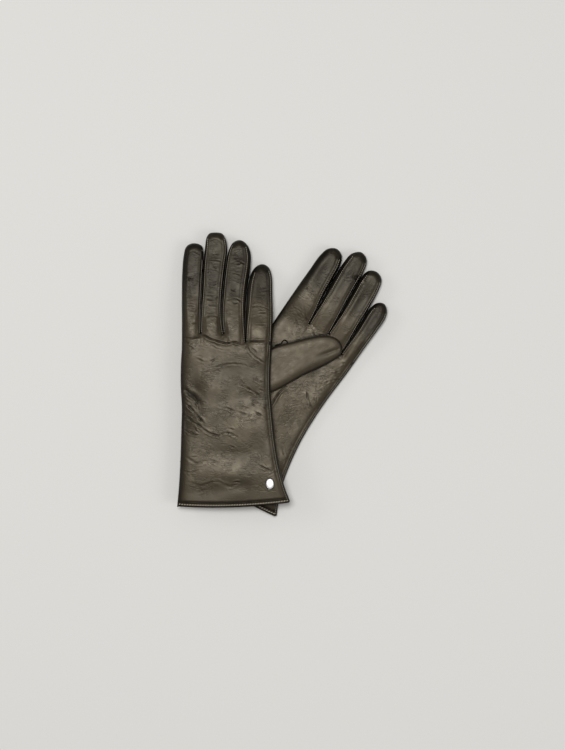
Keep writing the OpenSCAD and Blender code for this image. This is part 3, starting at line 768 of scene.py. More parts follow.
def build_skin(lay, sizes, materials):
    """The glove's leather, parted into hand, hem, side seam, fingers and forks."""
    side, seam = lay.side, lay.inset
    x0, x1 = lay.rim[0][0], lay.rim[-1][0]
    # The lines the skin is parted on: across the finger roots and along the hem.
    c = lay.crotches
    roots = np.array([(-60, c[0][1] - 3.4), *c, (60, c[2][1] + 1.5)])
    xs = np.arange(x0, x1, 1.1)
    root_line = within(np.column_stack([xs, np.interp(xs, roots[:, 0], roots[:, 1])]), lay, 0.9)
    xs = np.linspace(x0, x1, int((x1 - x0) / 1.1))
    hem_line = within(np.column_stack([xs, hem_height(xs) + lay.hem]), lay, 0.5)
    hem_mid = np.column_stack([hem_line[:, 0], hem_height(hem_line[:, 0]) + lay.hem * 0.5])
    # The upper face is drawn finely, with rings up to and past each seam. The lower one is coarser.
    step = sizes.skin_step / MM
    rolled = [(0.22, False), (0.5, False)]
    past_seam = [(seam + more, False) for more in (0.6, 1.3, 2.1)]
    rings = rolled + [(seam - 0.6, False), (seam, True)] + past_seam
    top_p, top_f = plan_mesh(lay.rim, lay.loop, [root_line, hem_line, hem_mid], rings, step)
    rings = rolled + [(seam - 0.5, False), (seam, True), (seam + 1.4, False)]
    low_p, low_f = plan_mesh(lay.rim, lay.loop, [root_line, hem_line], rings, step * 2.0)
    top, low = lay.sample(top_p), lay.sample(low_p)
    top_rim, low_rim = (line_distance(p, lay.rim)[0] < 0.01 for p in (top_p, low_p))
    top_z = np.where(top_rim, top["mid"], top["top"])
    low_z = np.where(low_rim, low["mid"], low["bottom"])
    # Both faces share the rim, so the lower face's rim points are swapped for the upper face's.
    lookup = {(round(x, 2), round(y, 2)): i for i, (x, y) in enumerate(top_p) if top_rim[i]}
    mapped = np.arange(len(low_p)) + len(top_p)
    for i in np.nonzero(low_rim)[0]:
        mapped[i] = lookup.get((round(low_p[i][0], 2), round(low_p[i][1], 2)), mapped[i])
    coords = np.vstack([lay.world(top_p, top_z), lay.world(low_p, low_z)])
    faces = np.vstack([top_f, mapped[low_f][:, ::-1]])
    values = {k: np.concatenate([top[k], low[k]]) for k in ("edge", "tone_and_shading", "fork")}
    normals = vertex_normals(coords, faces)
    # Each face's part follows from where its middle lies on the pattern.
    middle = np.vstack([top_p, low_p])[faces].mean(1)
    near = lay.nearest(middle)
    kind = lay.kind[near]
    is_finger = middle[:, 1] > np.interp(middle[:, 0], roots[:, 0], roots[:, 1])
    is_hem = middle[:, 1] - hem_height(middle[:, 0]) < lay.hem
    is_strip = np.concatenate([top["d"], low["d"]])[faces].mean(1) < seam[near]
    is_side = is_strip & (kind == "seam")
    is_fork = is_strip & (kind != "fold") & (kind != "tip")
    parts = {"hand": ("hand_leather", "leather", ~is_finger & ~is_hem & ~is_side),
             "hem": ("hand_turned_hem", "leather", is_hem),
             "seam": ("hand_side_seam_strip", "fork", ~is_finger & ~is_hem & is_side)}
    for i, name in enumerate(FINGERS):
        mine = is_finger & (lay.finger_at(middle) == i)
        parts[name] = (f"{name}_leather", "leather", mine & ~is_fork)
        parts[name + "_fork"] = (f"{name}_forks", "fork", mine & is_fork)
    made = {}
    for key, (title, finish, chosen) in parts.items():
        # Fork and side-seam strips take the painted slit shadow as their shade, the other pieces the painted edge
        # shade.
        shade = {"edge_shade": values["fork" if finish == "fork" else "edge"], "tone_and_shading": values["tone_and_shading"]}
        made[key] = skin_part(f"{side}_{title}", coords, faces[chosen], normals, materials[finish], shade,
                              sizes.leather)
    return made


def skin_part(name, coords, faces, normals, material, shade, thickness):
    """One part of a skin: its own points, given the leather's thickness and the whole skin's normals."""
    used, local = np.unique(faces, return_inverse=True)
    own = {key: values[used] for key, values in shade.items()}
    piece = new_piece(name, coords[used], local.reshape(-1, 3), material, own)
    give_wall(piece, thickness)
    keep_normals(piece, len(used), normals[used])
    return piece


def follow(piece):
    """Bakes a piece's placement into its mesh."""
    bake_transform(piece)


# ---------------------------------------------------------------------------
# Rows of stitches
# ---------------------------------------------------------------------------


def stitch_shape():
    """One stitch along +X, 1 long and 1 thick, as a small closed spindle."""
    rings = [(-0.5, 0.25), (-0.3, 0.5), (0.3, 0.5), (0.5, 0.25)]
    verts = [(-0.56, 0, 0)]
    for x, r in rings:
        verts += [(x, r * math.cos(a), r * math.sin(a)) for a in (k * math.pi / 3 for k in range(6))]
    verts.append((0.56, 0, 0))
    faces = [(0, 1 + (k + 1) % 6, 1 + k) for k in range(6)]
    for r in range(3):
        a, b = 1 + 6 * r, 7 + 6 * r
        faces += [(a + k, a + (k + 1) % 6, b + (k + 1) % 6, b + k) for k in range(6)]
    last = len(verts) - 1
    faces += [(19 + k, 19 + (k + 1) % 6, last) for k in range(6)]
    return np.array(verts), faces


def stitch_row(name, places, directions, ups, length, thick, material):
    """A row of stitches, one at each place, in one mesh."""
    shape, shape_faces = stitch_shape()
    coords, faces = [], []
    for place, direction, up in zip(places, directions, ups):
        x = direction / np.linalg.norm(direction)
        y = np.cross(up, x)
        y /= np.linalg.norm(y)
        z = np.cross(x, y)
        base = len(coords)
        for v in shape:
            coords.append(place + x * v[0] * length + y * v[1] * thick + z * v[2] * thick * 0.8)
        faces += [tuple(base + k for k in f) for f in shape_faces]
    return new_piece(name, coords, faces, material)


def stitches_on(lay, name, line, pitch, length, thick, material, rise=0.16, slant=0.0):
    """Stitches along a line on the leather, a little above it. slant turns each one, in degrees."""
    s = np.concatenate([[0], np.cumsum(np.linalg.norm(np.diff(line, axis=0), axis=1))])
    at = np.arange(pitch * 0.5, s[-1], pitch)
    p = np.column_stack([np.interp(at, s, line[:, k]) for k in (0, 1)])
    ahead = np.column_stack([np.interp(at + 0.3, s, line[:, k]) for k in (0, 1)]) - p
    ahead /= np.maximum(np.linalg.norm(ahead, axis=1)[:, None], 1e-6)
    c, sn = math.cos(math.radians(slant)), math.sin(math.radians(slant))
    ahead = np.column_stack([ahead[:, 0] * c - ahead[:, 1] * sn, ahead[:, 0] * sn + ahead[:, 1] * c])
    across = np.column_stack([-ahead[:, 1], ahead[:, 0]])
    here, front, beyond = (lay.world(q, lay.sample(q)["top"]) for q in (p, p + ahead * 0.4, p + across * 0.4))
    front = front - here
    up = np.cross(front, beyond - here)
    up /= np.linalg.norm(up, axis=1)[:, None]
    return stitch_row(name, here + up * rise * MM, front, up, length * MM, thick * MM, material)


def offset_line(lay, chosen, inset):
    """The rim's chosen points moved inwards, without those that come too near the rim again."""
    q = (lay.rim + inward(lay.rim, closed=True) * inset[:, None])[chosen]
    return q[line_distance(q, lay.rim)[0] > inset[chosen] * 0.88]


# ---------------------------------------------------------------------------
# Thumbs and linings
# ---------------------------------------------------------------------------


def thumb_axis(lay):
    """The thumb's root and its direction in the glove's own frame."""
    a = math.radians(lay.pattern["thumb_angle"])
    return np.array(lay.pattern["thumb_root"]), np.array([math.cos(a), math.sin(a)])


def thumb_bend(lay):
    """Where the thumb starts and stops bending past its crease, as two points in the pair's frame."""
    root, ahead = thumb_axis(lay)
    return lay.world(np.array([root + ahead * (THUMB_FOLD + v) for v in (0.5, 16)]), np.array([12.0, 12.0]))


def build_thumb(lay, sizes, materials):
    """A folded thumb between two heights over the palm, parted at its crease into base and tip."""
    outline, (low, high) = lay.pattern["thumb"], lay.pattern["thumb_heights"]
    loop = smooth_run(outline + [outline[0]], RIM_STEP)[:-1]
    if ((np.roll(loop[:, 0], -1) - loop[:, 0]) * (np.roll(loop[:, 1], -1) + loop[:, 1])).sum() < 0:
        loop = loop[::-1]
    rim = np.vstack([loop, loop[:1]])
    root, ahead = thumb_axis(lay)
    across = np.array([ahead[1], -ahead[0]])
    crease = root + ahead * THUMB_FOLD + across * np.arange(-32, 32, 1.1)[:, None]
    crease = crease[inside(crease, loop)]
    crease = crease[line_distance(crease, rim)[0] > 0.9]
    rings = [(offset, False) for offset in (0.22, 0.6, 1.15, THUMB_SEAM, THUMB_SEAM + 0.9, THUMB_SEAM + 1.9)]
    p, f = plan_mesh(rim, loop, [crease], rings, sizes.skin_step / MM)
    d, _ = line_distance(p, rim)
    base = lay.lift + math.sin(lay.tilt) * p[:, 0]
    mid, half = base + (low + high) / 2, (high - low) / 2
    crown = rounded(np.clip(d / 9.5, 0, 1), 2.4)
    # Slow swelling, faint creases, and one hollow that runs back from the tip.
    rise = 0.35 * field(p, 40, 34, 18, 4.4, 1) + 0.05 * (creased(p, 65, 15, 6.5, 3.1) - 0.6)
    rise -= 0.7 * bell(p @ across - (root @ across), 2.5, 2.0) * smoothstep((p - root) @ ahead, 48, 66)
    ridge = lay.seam_rise * 0.35 * bell(d, THUMB_SEAM, 0.75)
    top = mid + half * crown + smoothstep(d, 0.5, 5) * rise + ridge
    bottom = mid - half * rounded(np.clip(d / 5, 0, 1), 2.2)
    on_rim = d < 0.01
    top, bottom = np.where(on_rim, mid, top), np.where(on_rim, mid, np.maximum(bottom, 0.02))
    mapped = np.where(on_rim, np.arange(len(p)), np.arange(len(p)) + len(p))
    coords = np.vstack([lay.world(p, top), lay.world(p, bottom)])
    faces = np.vstack([f, mapped[f][:, ::-1]])
    normals = vertex_normals(coords, faces)
    is_tip = (np.vstack([p, p])[faces].mean(1) - root) @ ahead > THUMB_FOLD
    # Painted shade on the thumb: darker along its rim and in its hollow, lighter on its swellings.
    shade = {"edge_shade": np.tile(bell(d, 0, 2.2, 1.3), 2), "tone_and_shading": np.clip(np.tile(0.78 + 0.3 * rise, 2), 0, 1)}
    return [skin_part(f"{lay.side}_thumb_{part}_leather", coords, faces[chosen], normals, materials["thumb"], shade,
                      sizes.leather * 0.8) for part, chosen in (("base", ~is_tip), ("tip", is_tip))]


def sleeve(name, rows, material, wall, closed_end):
    """A flattened tube through rows of (middle, sideways half, upwards half), closed at its far end."""
    count = 28
    coords, faces = [], []
    for middle, half, up in rows:
        for k in range(count):
            a = 2 * math.pi * k / count
            c, s = math.cos(a), math.sin(a)
            coords.append(middle + half * math.copysign(abs(c) ** 0.75, c) + up * math.copysign(abs(s) ** 0.75, s))
    for r in range(len(rows) - 1):
        for k in range(count):
            a, b = r * count + k, r * count + (k + 1) % count
            faces.append((a, b, b + count, a + count))
    if closed_end:
        coords.append(rows[-1][0])
        last = len(coords) - 1
        base = (len(rows) - 1) * count
        faces += [(base + k, base + (k + 1) % count, last) for k in range(count)]
    piece = new_piece(name, coords, faces, material)
    shape = bmesh.new()
    shape.from_mesh(piece.data)
    bmesh.ops.recalc_face_normals(shape, faces=shape.faces)
    shape.to_mesh(piece.data)
    shape.free()
    give_wall(piece, wall)
    return piece


def build_linings(lay, materials):
    """The knitted lining inside the hand and each finger."""
    side, gap = lay.side, LINING_GAP
    made, rows = {}, []
    fold_side = lay.rim[: np.argmax(lay.rim[:, 1] > 150)]
    seam_side = lay.rim[lay.finger_of_rim == 3]
    seam_side = seam_side[seam_side[:, 1].argmax() :][::-1]
    for y in np.linspace(hem_height(0) + 4.6, min(c[1] for c in lay.crotches) - 2, 44):
        left = np.interp(y, fold_side[:, 1], fold_side[:, 0])
        right = np.interp(y, seam_side[:, 1], seam_side[:, 0])
        half = lay.middle(np.array([[(left + right) / 2, y]]))[1]
        ends = np.array([[left + gap, y], [right - gap, y]])
        ends[:, 1] += hem_height(ends[:, 0]) - hem_height(0) if y < 12 else 0
        e = lay.world(ends, lay.middle(ends)[0])
        rows.append(((e[0] + e[1]) / 2, (e[1] - e[0]) / 2, np.array([0, 0, (half[0] * 0.76 - 1.0) * MM])))
    made["hand"] = sleeve(f"{side}_hand_knit_lining", rows, materials["knit"], KNIT * MM, False)
    for i, name in enumerate(FINGERS):
        x, y = lay.knuckles[i]
        tip_y = lay.pattern["tips"][i]
        own = lay.rim[lay.finger_of_rim == i]
        tip_x = own[own[:, 1].argmax()][0]
        rows = []
        for t in np.linspace(0.02, 0.965, 22):
            p = np.array([[x + (tip_x - x) * t, y + 1 + (tip_y - y - 1) * t]])
            d = line_distance(p, lay.rim)[0][0] if t > 0.12 else 8.0
            mid, half, _, _ = lay.middle(p)
            width = max(0.6, min(d, 11) - gap)
            sideways = np.array(lay.world_direction(1, 0)) * width * MM
            up = np.array([0, 0, max(0.5, min(half[0] - gap + 0.2, width)) * MM])
            rows.append((lay.world(p, mid)[0], sideways, up))
        made[name] = sleeve(f"{side}_{name}_knit_lining", rows, materials["knit"], KNIT * MM, True)
    return made


def thumb_lining(lay, part, start, end, materials):
    """The knitted lining of a thumb's base or tip, from start to end along the thumb."""
    root, ahead = thumb_axis(lay)
    low, high = lay.pattern["thumb_heights"]
    up = np.array([0, 0, min(1.35, (high - low) / 2 - 0.95) * MM])
    rows = []
    for v in np.linspace(start, end, 12):
        p = (root + ahead * v)[None, :]
        width = 11.5 - 7.0 * smoothstep(v, 30, 72)
        z = lay.lift + math.sin(lay.tilt) * p[:, 0] + (low + high) / 2
        sideways = np.array(lay.world_direction(ahead[1], -ahead[0])) * width * MM
        rows.append((lay.world(p, z)[0], sideways, up))
    return sleeve(f"{lay.side}_thumb_{part}_knit_lining", rows, materials["knit"], 0.5 * MM, part == "tip")


# ---------------------------------------------------------------------------
# Materials
# ---------------------------------------------------------------------------


def add_node(tree, kind, inputs=None, **settings):
    """A shader node with its settings, and its inputs set or linked."""
    node = tree.nodes.new("ShaderNode" + kind)
    for key, value in settings.items():
        setattr(node, key, value)
    for key, value in (inputs or {}).items():
        if isinstance(value, bpy.types.NodeSocket):
            tree.links.new(value, node.inputs[key])
        else:
            node.inputs[key].default_value = value
    return node


def per_mm(size):
    """The texture scale that gives features this many millimetres across."""
    return 1 / (size * MM)


def clouds(tree, place, size, detail, output="Fac"):
    """Smooth noise with features this many millimetres across."""
    inputs = {"Vector": place, "Scale": per_mm(size), "Detail": detail, "Roughness": 0.5}
    return add_node(tree, "TexNoise", inputs).outputs[output]


def maths(tree, operation, *values):
    """One sum on sockets or numbers."""
    return add_node(tree, "Math", dict(enumerate(values)), operation=operation).outputs[0]


def remap(tree, value, low, high, new_low=0.0, new_high=1.0, **settings):
    """A value between low and high moved to lie between the new limits."""
    inputs = {"Value": value, "From Min": low, "From Max": high, "To Min": new_low, "To Max": new_high}
    return add_node(tree, "MapRange", inputs, **settings).outputs[0]


def mixed(tree, share, a, b):
    """Two colours mixed. Each is a socket, or linear red, green and blue."""
    a, b = (c if isinstance(c, bpy.types.NodeSocket) else (*c, 1.0) for c in (a, b))
    return add_node(tree, "Mix", {"Factor": share, "A": a, "B": b}, data_type="RGBA").outputs["Result"]


def bumped(tree, height, strength, depth, normal=None):
    """A bump of this many millimetres, over another if there is one."""
    inputs = {"Height": height, "Strength": strength, "Distance": depth * MM}
    return add_node(tree, "Bump", inputs if normal is None else {**inputs, "Normal": normal}).outputs[0]


def new_material(name):
    """An empty material, its node tree and its object coordinates."""
    material = bpy.data.materials.new(name)
    material.use_nodes = True
    tree = material.node_tree
    tree.nodes.clear()
    return material, tree, add_node(tree, "TexCoord").outputs["Object"]


def surface(tree, **inputs):
    """The finish itself. Input names are written with _ for a space."""
    shader = add_node(tree, "BsdfPrincipled", {key.replace("_", " "): value for key, value in inputs.items()})
    add_node(tree, "OutputMaterial", {"Surface": shader.outputs[0]})


def nappa(name, light, dark, edge_shade_amount, crease_strength, roughness):
    """Drum-dyed lamb nappa, finished with a soft polish.

    It gives the eye a broad satin sheen, a fine pebbled grain that only shows in the highlights,
    a net of hair-thin creases with painted shade in their bottoms, and painted shade in folds and along rolled edges.
    """
    _, tree, place = new_material(name)
    mottle = clouds(tree, place, 7, 2.0)
    tone_and_shading, edge = (add_node(tree, "Attribute", attribute_name=key).outputs["Fac"] for key in ("tone_and_shading", "edge_shade"))
    tone = maths(tree, "MULTIPLY", clouds(tree, place, 55, 1.0), 0.9)
    tone = maths(tree, "MULTIPLY_ADD", mottle, 0.16, tone)
    # The attribute added here carries the leather's tone with its painted shade and painted light.
    tone = maths(tree, "MULTIPLY_ADD", tone_and_shading, 0.75, tone)
    tone = remap(tree, tone, 0.5, 1.2)
    # deep is the colour of the deepest painted shade, mixed in along rolled edges, fold bottoms and crease lines.
    deep = [c * 0.3 for c in dark]
    paint = mixed(tree, tone, dark, light)
    paint = mixed(tree, maths(tree, "MULTIPLY", edge, edge_shade_amount), paint, deep)
    # Creases: two nets of long cells, 11 by 3.6 and 8 by 2.6 mm, bent so that no line runs straight.
    warp = clouds(tree, place, 11, 1.0, "Color")
    pull = add_node(tree, "VectorMath", {0: warp, 1: (0.5, 0.5, 0.5)}, operation="SUBTRACT").outputs[0]
    pull = add_node(tree, "VectorMath", {0: pull, "Scale": 7.0 * MM}, operation="SCALE").outputs[0]
    bent = add_node(tree, "VectorMath", {0: place, 1: pull}, operation="ADD").outputs[0]
    cuts = []
    for turn, long, short, seed in ((-0.55, 11.0, 3.6, 0.0), (0.35, 8.0, 2.6, 0.37)):
        lines = add_node(tree, "Mapping", {"Vector": bent, "Location": (seed, seed, 0), "Rotation": (0, 0, turn),
                                           "Scale": (per_mm(long), per_mm(short), per_mm(short))}).outputs[0]
        cells = add_node(tree, "TexVoronoi", {"Vector": lines, "Scale": 1.0}, feature="DISTANCE_TO_EDGE")
        cuts.append(remap(tree, cells.outputs["Distance"], 0.0, 0.11, interpolation_type="SMOOTHSTEP"))
    # The nets show in patches only. Here 0 is smooth leather and -1 the bottom of a crease.
    net = maths(tree, "SUBTRACT", maths(tree, "MULTIPLY", *cuts), 1.0)
    net = maths(tree, "MULTIPLY", net, remap(tree, clouds(tree, place, 13, 3.0), 0.44, 0.6))
    # Painted shade in the bottoms of the creases.
    paint = mixed(tree, maths(tree, "MULTIPLY", net, -0.2 * crease_strength), paint, deep)
    # Real nappa grain is about 0.4 mm. It is drawn 0.9 mm wide, or it would not show in the render.
    grain = {"Vector": place, "Scale": per_mm(0.9), "Randomness": 1.0}
    grain = add_node(tree, "TexVoronoi", grain, feature="SMOOTH_F1").outputs["Distance"]
    bump = bumped(tree, grain, 0.25, 0.12)
    bump = bumped(tree, clouds(tree, bent, 4.2, 3.0), 0.08, 0.5, bump)
    bump = bumped(tree, net, crease_strength, 0.11, bump)
    # The gloss is lower where the tone is darker and where the painted edge shade falls.
    dull = maths(tree, "MULTIPLY_ADD", edge, -0.6, 1.0)
    gloss = maths(tree, "MULTIPLY", remap(tree, tone, 0.0, 1.0, 0.2, 0.46), dull)
    polish = remap(tree, mottle, 0.3, 0.7, roughness - 0.05, roughness + 0.07)
    surface(tree, Base_Color=paint, Roughness=polish, IOR=1.5, Specular_IOR_Level=gloss,
            Specular_Tint=(1.0, 0.87, 0.64, 1.0), Coat_Weight=0.06, Coat_Roughness=0.3, Normal=bump)


def knit_lining(name, base):
    """Brushed interlock knit: a matt, almost black pile with fine ribs 0.9 mm apart."""
    _, tree, place = new_material(name)
    ribs = add_node(tree, "TexWave", {"Vector": place, "Scale": per_mm(0.9) / 6.283, "Distortion": 1.5, "Detail": 2.0})
    fuzz = clouds(tree, place, 0.6, 4.0)
    tone = mixed(tree, fuzz, [c * 0.6 for c in base], [c * 1.5 for c in base])
    bump = bumped(tree, fuzz, 0.5, 0.25, bumped(tree, ribs.outputs["Fac"], 0.5, 0.3))
    surface(tree, Base_Color=tone, Roughness=0.92, Sheen_Weight=0.35, Normal=bump)


def bonded_thread(name, base):
    """Bonded polyester thread, twisted: slightly shiny, with a twist 0.5 mm long."""
    _, tree, place = new_material(name)
    twist = clouds(tree, place, 0.5, 2.0)
    tone = mixed(tree, twist, [c * 0.7 for c in base], [c * 1.4 for c in base])
    surface(tree, Base_Color=tone, Roughness=0.5, Normal=bumped(tree, twist, 0.5, 0.1))


def tumbled_plate(name, base, metallic, low, high):
    """Plated zinc, tumbled: rhodium is nearly white, and the border ring is painted nearly black, as shade in the
    recess round the plate. Both have faint rubbing marks.
    """
    _, tree, place = new_material(name)
    rub = clouds(tree, place, 0.7, 4.0)
    tone = mixed(tree, rub, [c * 0.94 for c in base], base)
    surface(tree, Base_Color=tone, Metallic=metallic, Roughness=remap(tree, rub, 0.0, 1.0, low, high),
            Normal=bumped(tree, rub, 0.1, 0.03))


def finishes():
    """The gloves' materials, made once."""
    made = bpy.data.materials
    colours = bpy.context.scene.glove_colours
    if "nappa_leather_body" not in made:
        light, dark = list(colours.leather), list(colours.leather_dark_and_shaded)
        nappa("nappa_leather_body", light, dark, 0.97, 0.85, 0.4)
        # The fork and side-seam strips use a darker copy of the leather: painted shade for the slits between the
        # fingers.
        nappa("nappa_leather_fork_shaded", [c * 0.8 for c in light], [c * 0.8 for c in dark], 1.0, 0.4, 0.5)
        nappa("nappa_leather_thumb", [c * 1.1 for c in light], [c * 1.2 for c in dark], 0.8, 0.3, 0.42)
        knit_lining("brushed_knit_lining", list(colours.lining))
        bonded_thread("bonded_thread", list(colours.thread))
        tumbled_plate("polished_rhodium_plate", list(colours.badge), 0.6, 0.34, 0.44)
        # The badge's border ring is nearly black: painted shade for the recess round the plate.
        tumbled_plate("shaded_recess_border", [0.012, 0.011, 0.01], 0.5, 0.4, 0.5)
    names = {"leather": "nappa_leather_body", "fork": "nappa_leather_fork_shaded", "thumb": "nappa_leather_thumb",
             "knit": "brushed_knit_lining", "thread": "bonded_thread", "metal": "polished_rhodium_plate",
             "border": "shaded_recess_border"}
    return {key: made[name] for key, name in names.items()}


# ---------------------------------------------------------------------------
# Operators
# ---------------------------------------------------------------------------

LAYS = {}


def lay_of(side):
    """How one glove lies, worked out once."""
    if side not in LAYS:
        LAYS[side] = Lay(RIGHT if side == "right" else LEFT, bpy.context.scene.glove_sizes)
    return LAYS[side]


def make_skin(side):
    """Builds one glove's leather, hides the parts it stands in for and attaches the hand's pieces to the hand."""
    lay = lay_of(side)
    made = build_skin(lay, bpy.context.scene.glove_sizes, finishes())
    hand = f"{side}_hand"
    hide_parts(f"{hand}_back", f"{hand}_palm", f"{hand}_fold_edge")
    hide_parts(f"{hand}_hem")
    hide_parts(f"{hand}_side_seam")
    for key in ("hand", "hem", "seam"):
        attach(made[key], hand)
    for i, name in enumerate(FINGERS):
        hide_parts(f"{side}_{name}_back_tongue", f"{side}_{name}_palm_tongue")
        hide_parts(f"{side}_{name}_sidewalls")
        follow(made[name])
        follow(made[name + "_fork"])


class GLOVES_OT_right_leather(bpy.types.Operator):
    """Lays out the right glove's leather: hand, hem, side seam, fingers and forks"""

    bl_idname = "gloves.right_leather"
    bl_label = "Right glove leather"

    def execute(self, context):
        make_skin("right")
        return {"FINISHED"}


class GLOVES_OT_left_leather(bpy.types.Operator):
    """Lays out the left glove's leather: hand, hem, side seam, fingers and forks"""

    bl_idname = "gloves.left_leather"
    bl_label = "Left glove leather"

    def execute(self, context):
        make_skin("left")
        return {"FINISHED"}


class GLOVES_OT_thumbs(bpy.types.Operator):
    """Lays the right thumb under its palm and the left one across its palm"""

    bl_idname = "gloves.thumbs"
    bl_label = "Thumbs"

    def execute(self, context):
        sizes, materials = context.scene.glove_sizes, finishes()
        for side in ("right", "left"):
            lay = lay_of(side)
            base, tip = build_thumb(lay, sizes, materials)
            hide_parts(f"{side}_thumb_base")
            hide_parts(f"{side}_thumb_tip")
            if side == "right":
                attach(base, "right_thumb")
                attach(tip, "right_thumb")
            else:
                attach(base, "left_hand")
                ends = thumb_bend(lay)
                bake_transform(tip)
        return {"FINISHED"}


class GLOVES_OT_seam_loop(bpy.types.Operator):
    """Lays the small loop where the left thumb's seam ends on the palm"""

    bl_idname = "gloves.seam_loop"
    bl_label = "Thumb seam loop"

    def execute(self, context):
        lay = lay_of("left")
        line = smooth_run(LEFT_SEAM_LOOP, 0.5)
        path = lay.world(line, lay.sample(line)["top"] + 0.25)
        count, radius = 8, 0.7 * MM  # sides and size of the tube
        coords, faces = [], []
        for i, place in enumerate(path):
            ahead = Vector(path[min(i + 1, len(path) - 1)] - path[max(i - 1, 0)]).normalized()
            side = ahead.cross(Vector((0, 0, 1))).normalized()
            up = side.cross(ahead)
            for k in range(count):
                a = 2 * math.pi * k / count
                coords.append(Vector(place) + (side * math.cos(a) + up * math.sin(a)) * radius)
        for i in range(len(path) - 1):
            for k in range(count):
                a, b = i * count + k, i * count + (k + 1) % count
                faces.append((a, b, b + count, a + count))
        faces += [tuple(range(count))[::-1], tuple(len(coords) - count + k for k in range(count))]
        # The loop tube is drawn in full painted shade, dark as the bottom of a crease.
        shade = {"edge_shade": np.full(len(coords), 1.0), "tone_and_shading": np.zeros(len(coords))}
        loop = new_piece("left_thumb_seam_loop", coords, faces, finishes()["fork"], shade)
        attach(loop, "left_hand")
        return {"FINISHED"}


class GLOVES_OT_linings(bpy.types.Operator):
    """Puts a knitted lining inside each hand, finger and thumb"""

    bl_idname = "gloves.linings"
    bl_label = "Knitted linings"

    def execute(self, context):
        materials = finishes()
        for side in ("right", "left"):
            lay = lay_of(side)
            made = build_linings(lay, materials)
            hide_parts(f"{side}_hand_lining")
            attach(made["hand"], f"{side}_hand")
            for i, name in enumerate(FINGERS):
                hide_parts(f"{side}_{name}_lining")
                follow(made[name])
            for part, start, end in (("base", 4, THUMB_FOLD - 0.4), ("tip", THUMB_FOLD + 0.4, 72)):
                piece = thumb_lining(lay, part, start, end, materials)
                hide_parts(f"{side}_thumb_{part}_lining")
                if side == "right":
                    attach(piece, "right_thumb")
                elif part == "base":
                    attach(piece, "left_hand")
                else:
                    ends = thumb_bend(lay)
                    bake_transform(piece)
        return {"FINISHED"}


class GLOVES_OT_stitching(bpy.types.Operator):
    """Sews the hems, the side seams and the forks between the fingers"""

    bl_idname = "gloves.stitching"
    bl_label = "Stitching"

    def execute(self, context):
        sizes, thread = context.scene.glove_sizes, finishes()["thread"]
        pitch, thick = sizes.stitch_pitch / MM, sizes.thread / MM
        for side in ("right", "left"):
            lay = lay_of(side)
            xs = np.linspace(lay.rim[0][0] + 1.5, lay.rim[-1][0] - 1.5, 80)
            hem = np.column_stack([xs, hem_height(xs) + lay.hem * 0.55])
            row = stitches_on(lay, f"{side}_hem_stitches", hem, pitch * 1.25, 1.7, thick * 1.15, thread, 0.22, 34)
            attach(row, f"{side}_hand")
            seam = (lay.kind == "seam") & (lay.rim[:, 1] < lay.crotches[2][1] - 3)
            line = offset_line(lay, seam, lay.inset - 0.3)
            row = stitches_on(lay, f"{side}_side_seam_stitches", line, pitch, 1.2, thick * 0.6, thread)
            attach(row, f"{side}_hand")
            for i, name in enumerate(FINGERS):
                mine = lay.finger_of_rim == i
                own = mine & (lay.kind != "fold") & (lay.kind != "tip")
                own &= lay.rim[:, 1] > (lay.crotches[2][1] if i == 3 else 0)
                top = np.where(mine, lay.rim[:, 1], -1).argmax()
                index = np.arange(len(lay.rim))
                for part, half in (("inner", own & (index < top)), ("outer", own & (index > top))):
                    # The index finger's inner side is the fold of the leather, which has no seam.
                    if half.sum() < 8:
                        continue
                    line = offset_line(lay, half, lay.inset - 0.3)
                    row = stitches_on(lay, f"{side}_{name}_{part}_stitches", line, pitch, 1.3, thick * 0.8, thread)
                    follow(row)
        return {"FINISHED"}


class GLOVES_OT_badge(bpy.types.Operator):
    """Fixes the plain oval badge on the right cuff"""

    bl_idname = "gloves.badge"
    bl_label = "Oval badge"

    def execute(self, context):
        sizes, materials = context.scene.glove_sizes, finishes()
        low, high = (Vector(c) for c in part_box("right_badge_plate"))
        middle = (low + high) / 2
        bpy.ops.object.select_all(action="DESELECT")
        bpy.ops.mesh.primitive_cylinder_add(vertices=64, radius=0.5, depth=1.1 * MM, location=(0, 0, 0))
        badge = context.active_object
        badge.name = badge.data.name = "right_oval_badge"
        badge.scale = (sizes.badge_width, sizes.badge_height, 1)
        bpy.ops.object.transform_apply(location=True, rotation=True, scale=True)
        bpy.ops.object.mode_set(mode="EDIT")
        bpy.ops.mesh.select_all(action="DESELECT")
        bpy.ops.object.mode_set(mode="OBJECT")
        for face in badge.data.polygons:
            face.select = face.normal.z > 0.9
        bpy.ops.object.mode_set(mode="EDIT")
        bpy.ops.mesh.select_mode(type="FACE")
        # A recessed border, painted dark as shade in the recess, then a plate that domes up in three steps.
        for step, rise in ((0.55, 0.0), (0.25, -0.35), (0.3, 0.45), (0.8, 0.16), (0.9, 0.09), (0.8, 0.03)):
            bpy.ops.mesh.inset(thickness=step * MM, depth=rise * MM)
        bpy.ops.object.mode_set(mode="OBJECT")
        bevel = badge.modifiers.new("rounded", "BEVEL")
        bevel.width, bevel.segments, bevel.angle_limit = 0.22 * MM, 3, math.radians(35)
        bpy.ops.object.modifier_apply(modifier=bevel.name)
        bpy.ops.object.shade_smooth_by_angle(angle=math.radians(40))
        badge.data.materials.clear()
        badge.data.materials.append(materials["metal"])
        badge.data.materials.append(materials["border"])
        # Everything outside the plate's own oval is the border ring, painted nearly black as shade in its recess.
        border = 0.8 * MM
        half_w, half_h = sizes.badge_width / 2 - border, sizes.badge_height / 2 - border
        for face in badge.data.polygons:
            at = face.center
            face.material_index = int((at.x / half_w) ** 2 + (at.y / half_h) ** 2 > 1 or face.normal.z < -0.5)
        badge.data.transform(Matrix.Translation(middle) @ Matrix.Rotation(-lay_of("right").tilt, 4, "Y"))
        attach(badge, "right_hand")
        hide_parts("right_badge_plate")
        for name in ("right_badge_prongs", "right_badge_backing"):
            for slot in frame["nodes"][name].material_slots:
                slot.material = materials["metal"]
        return {"FINISHED"}


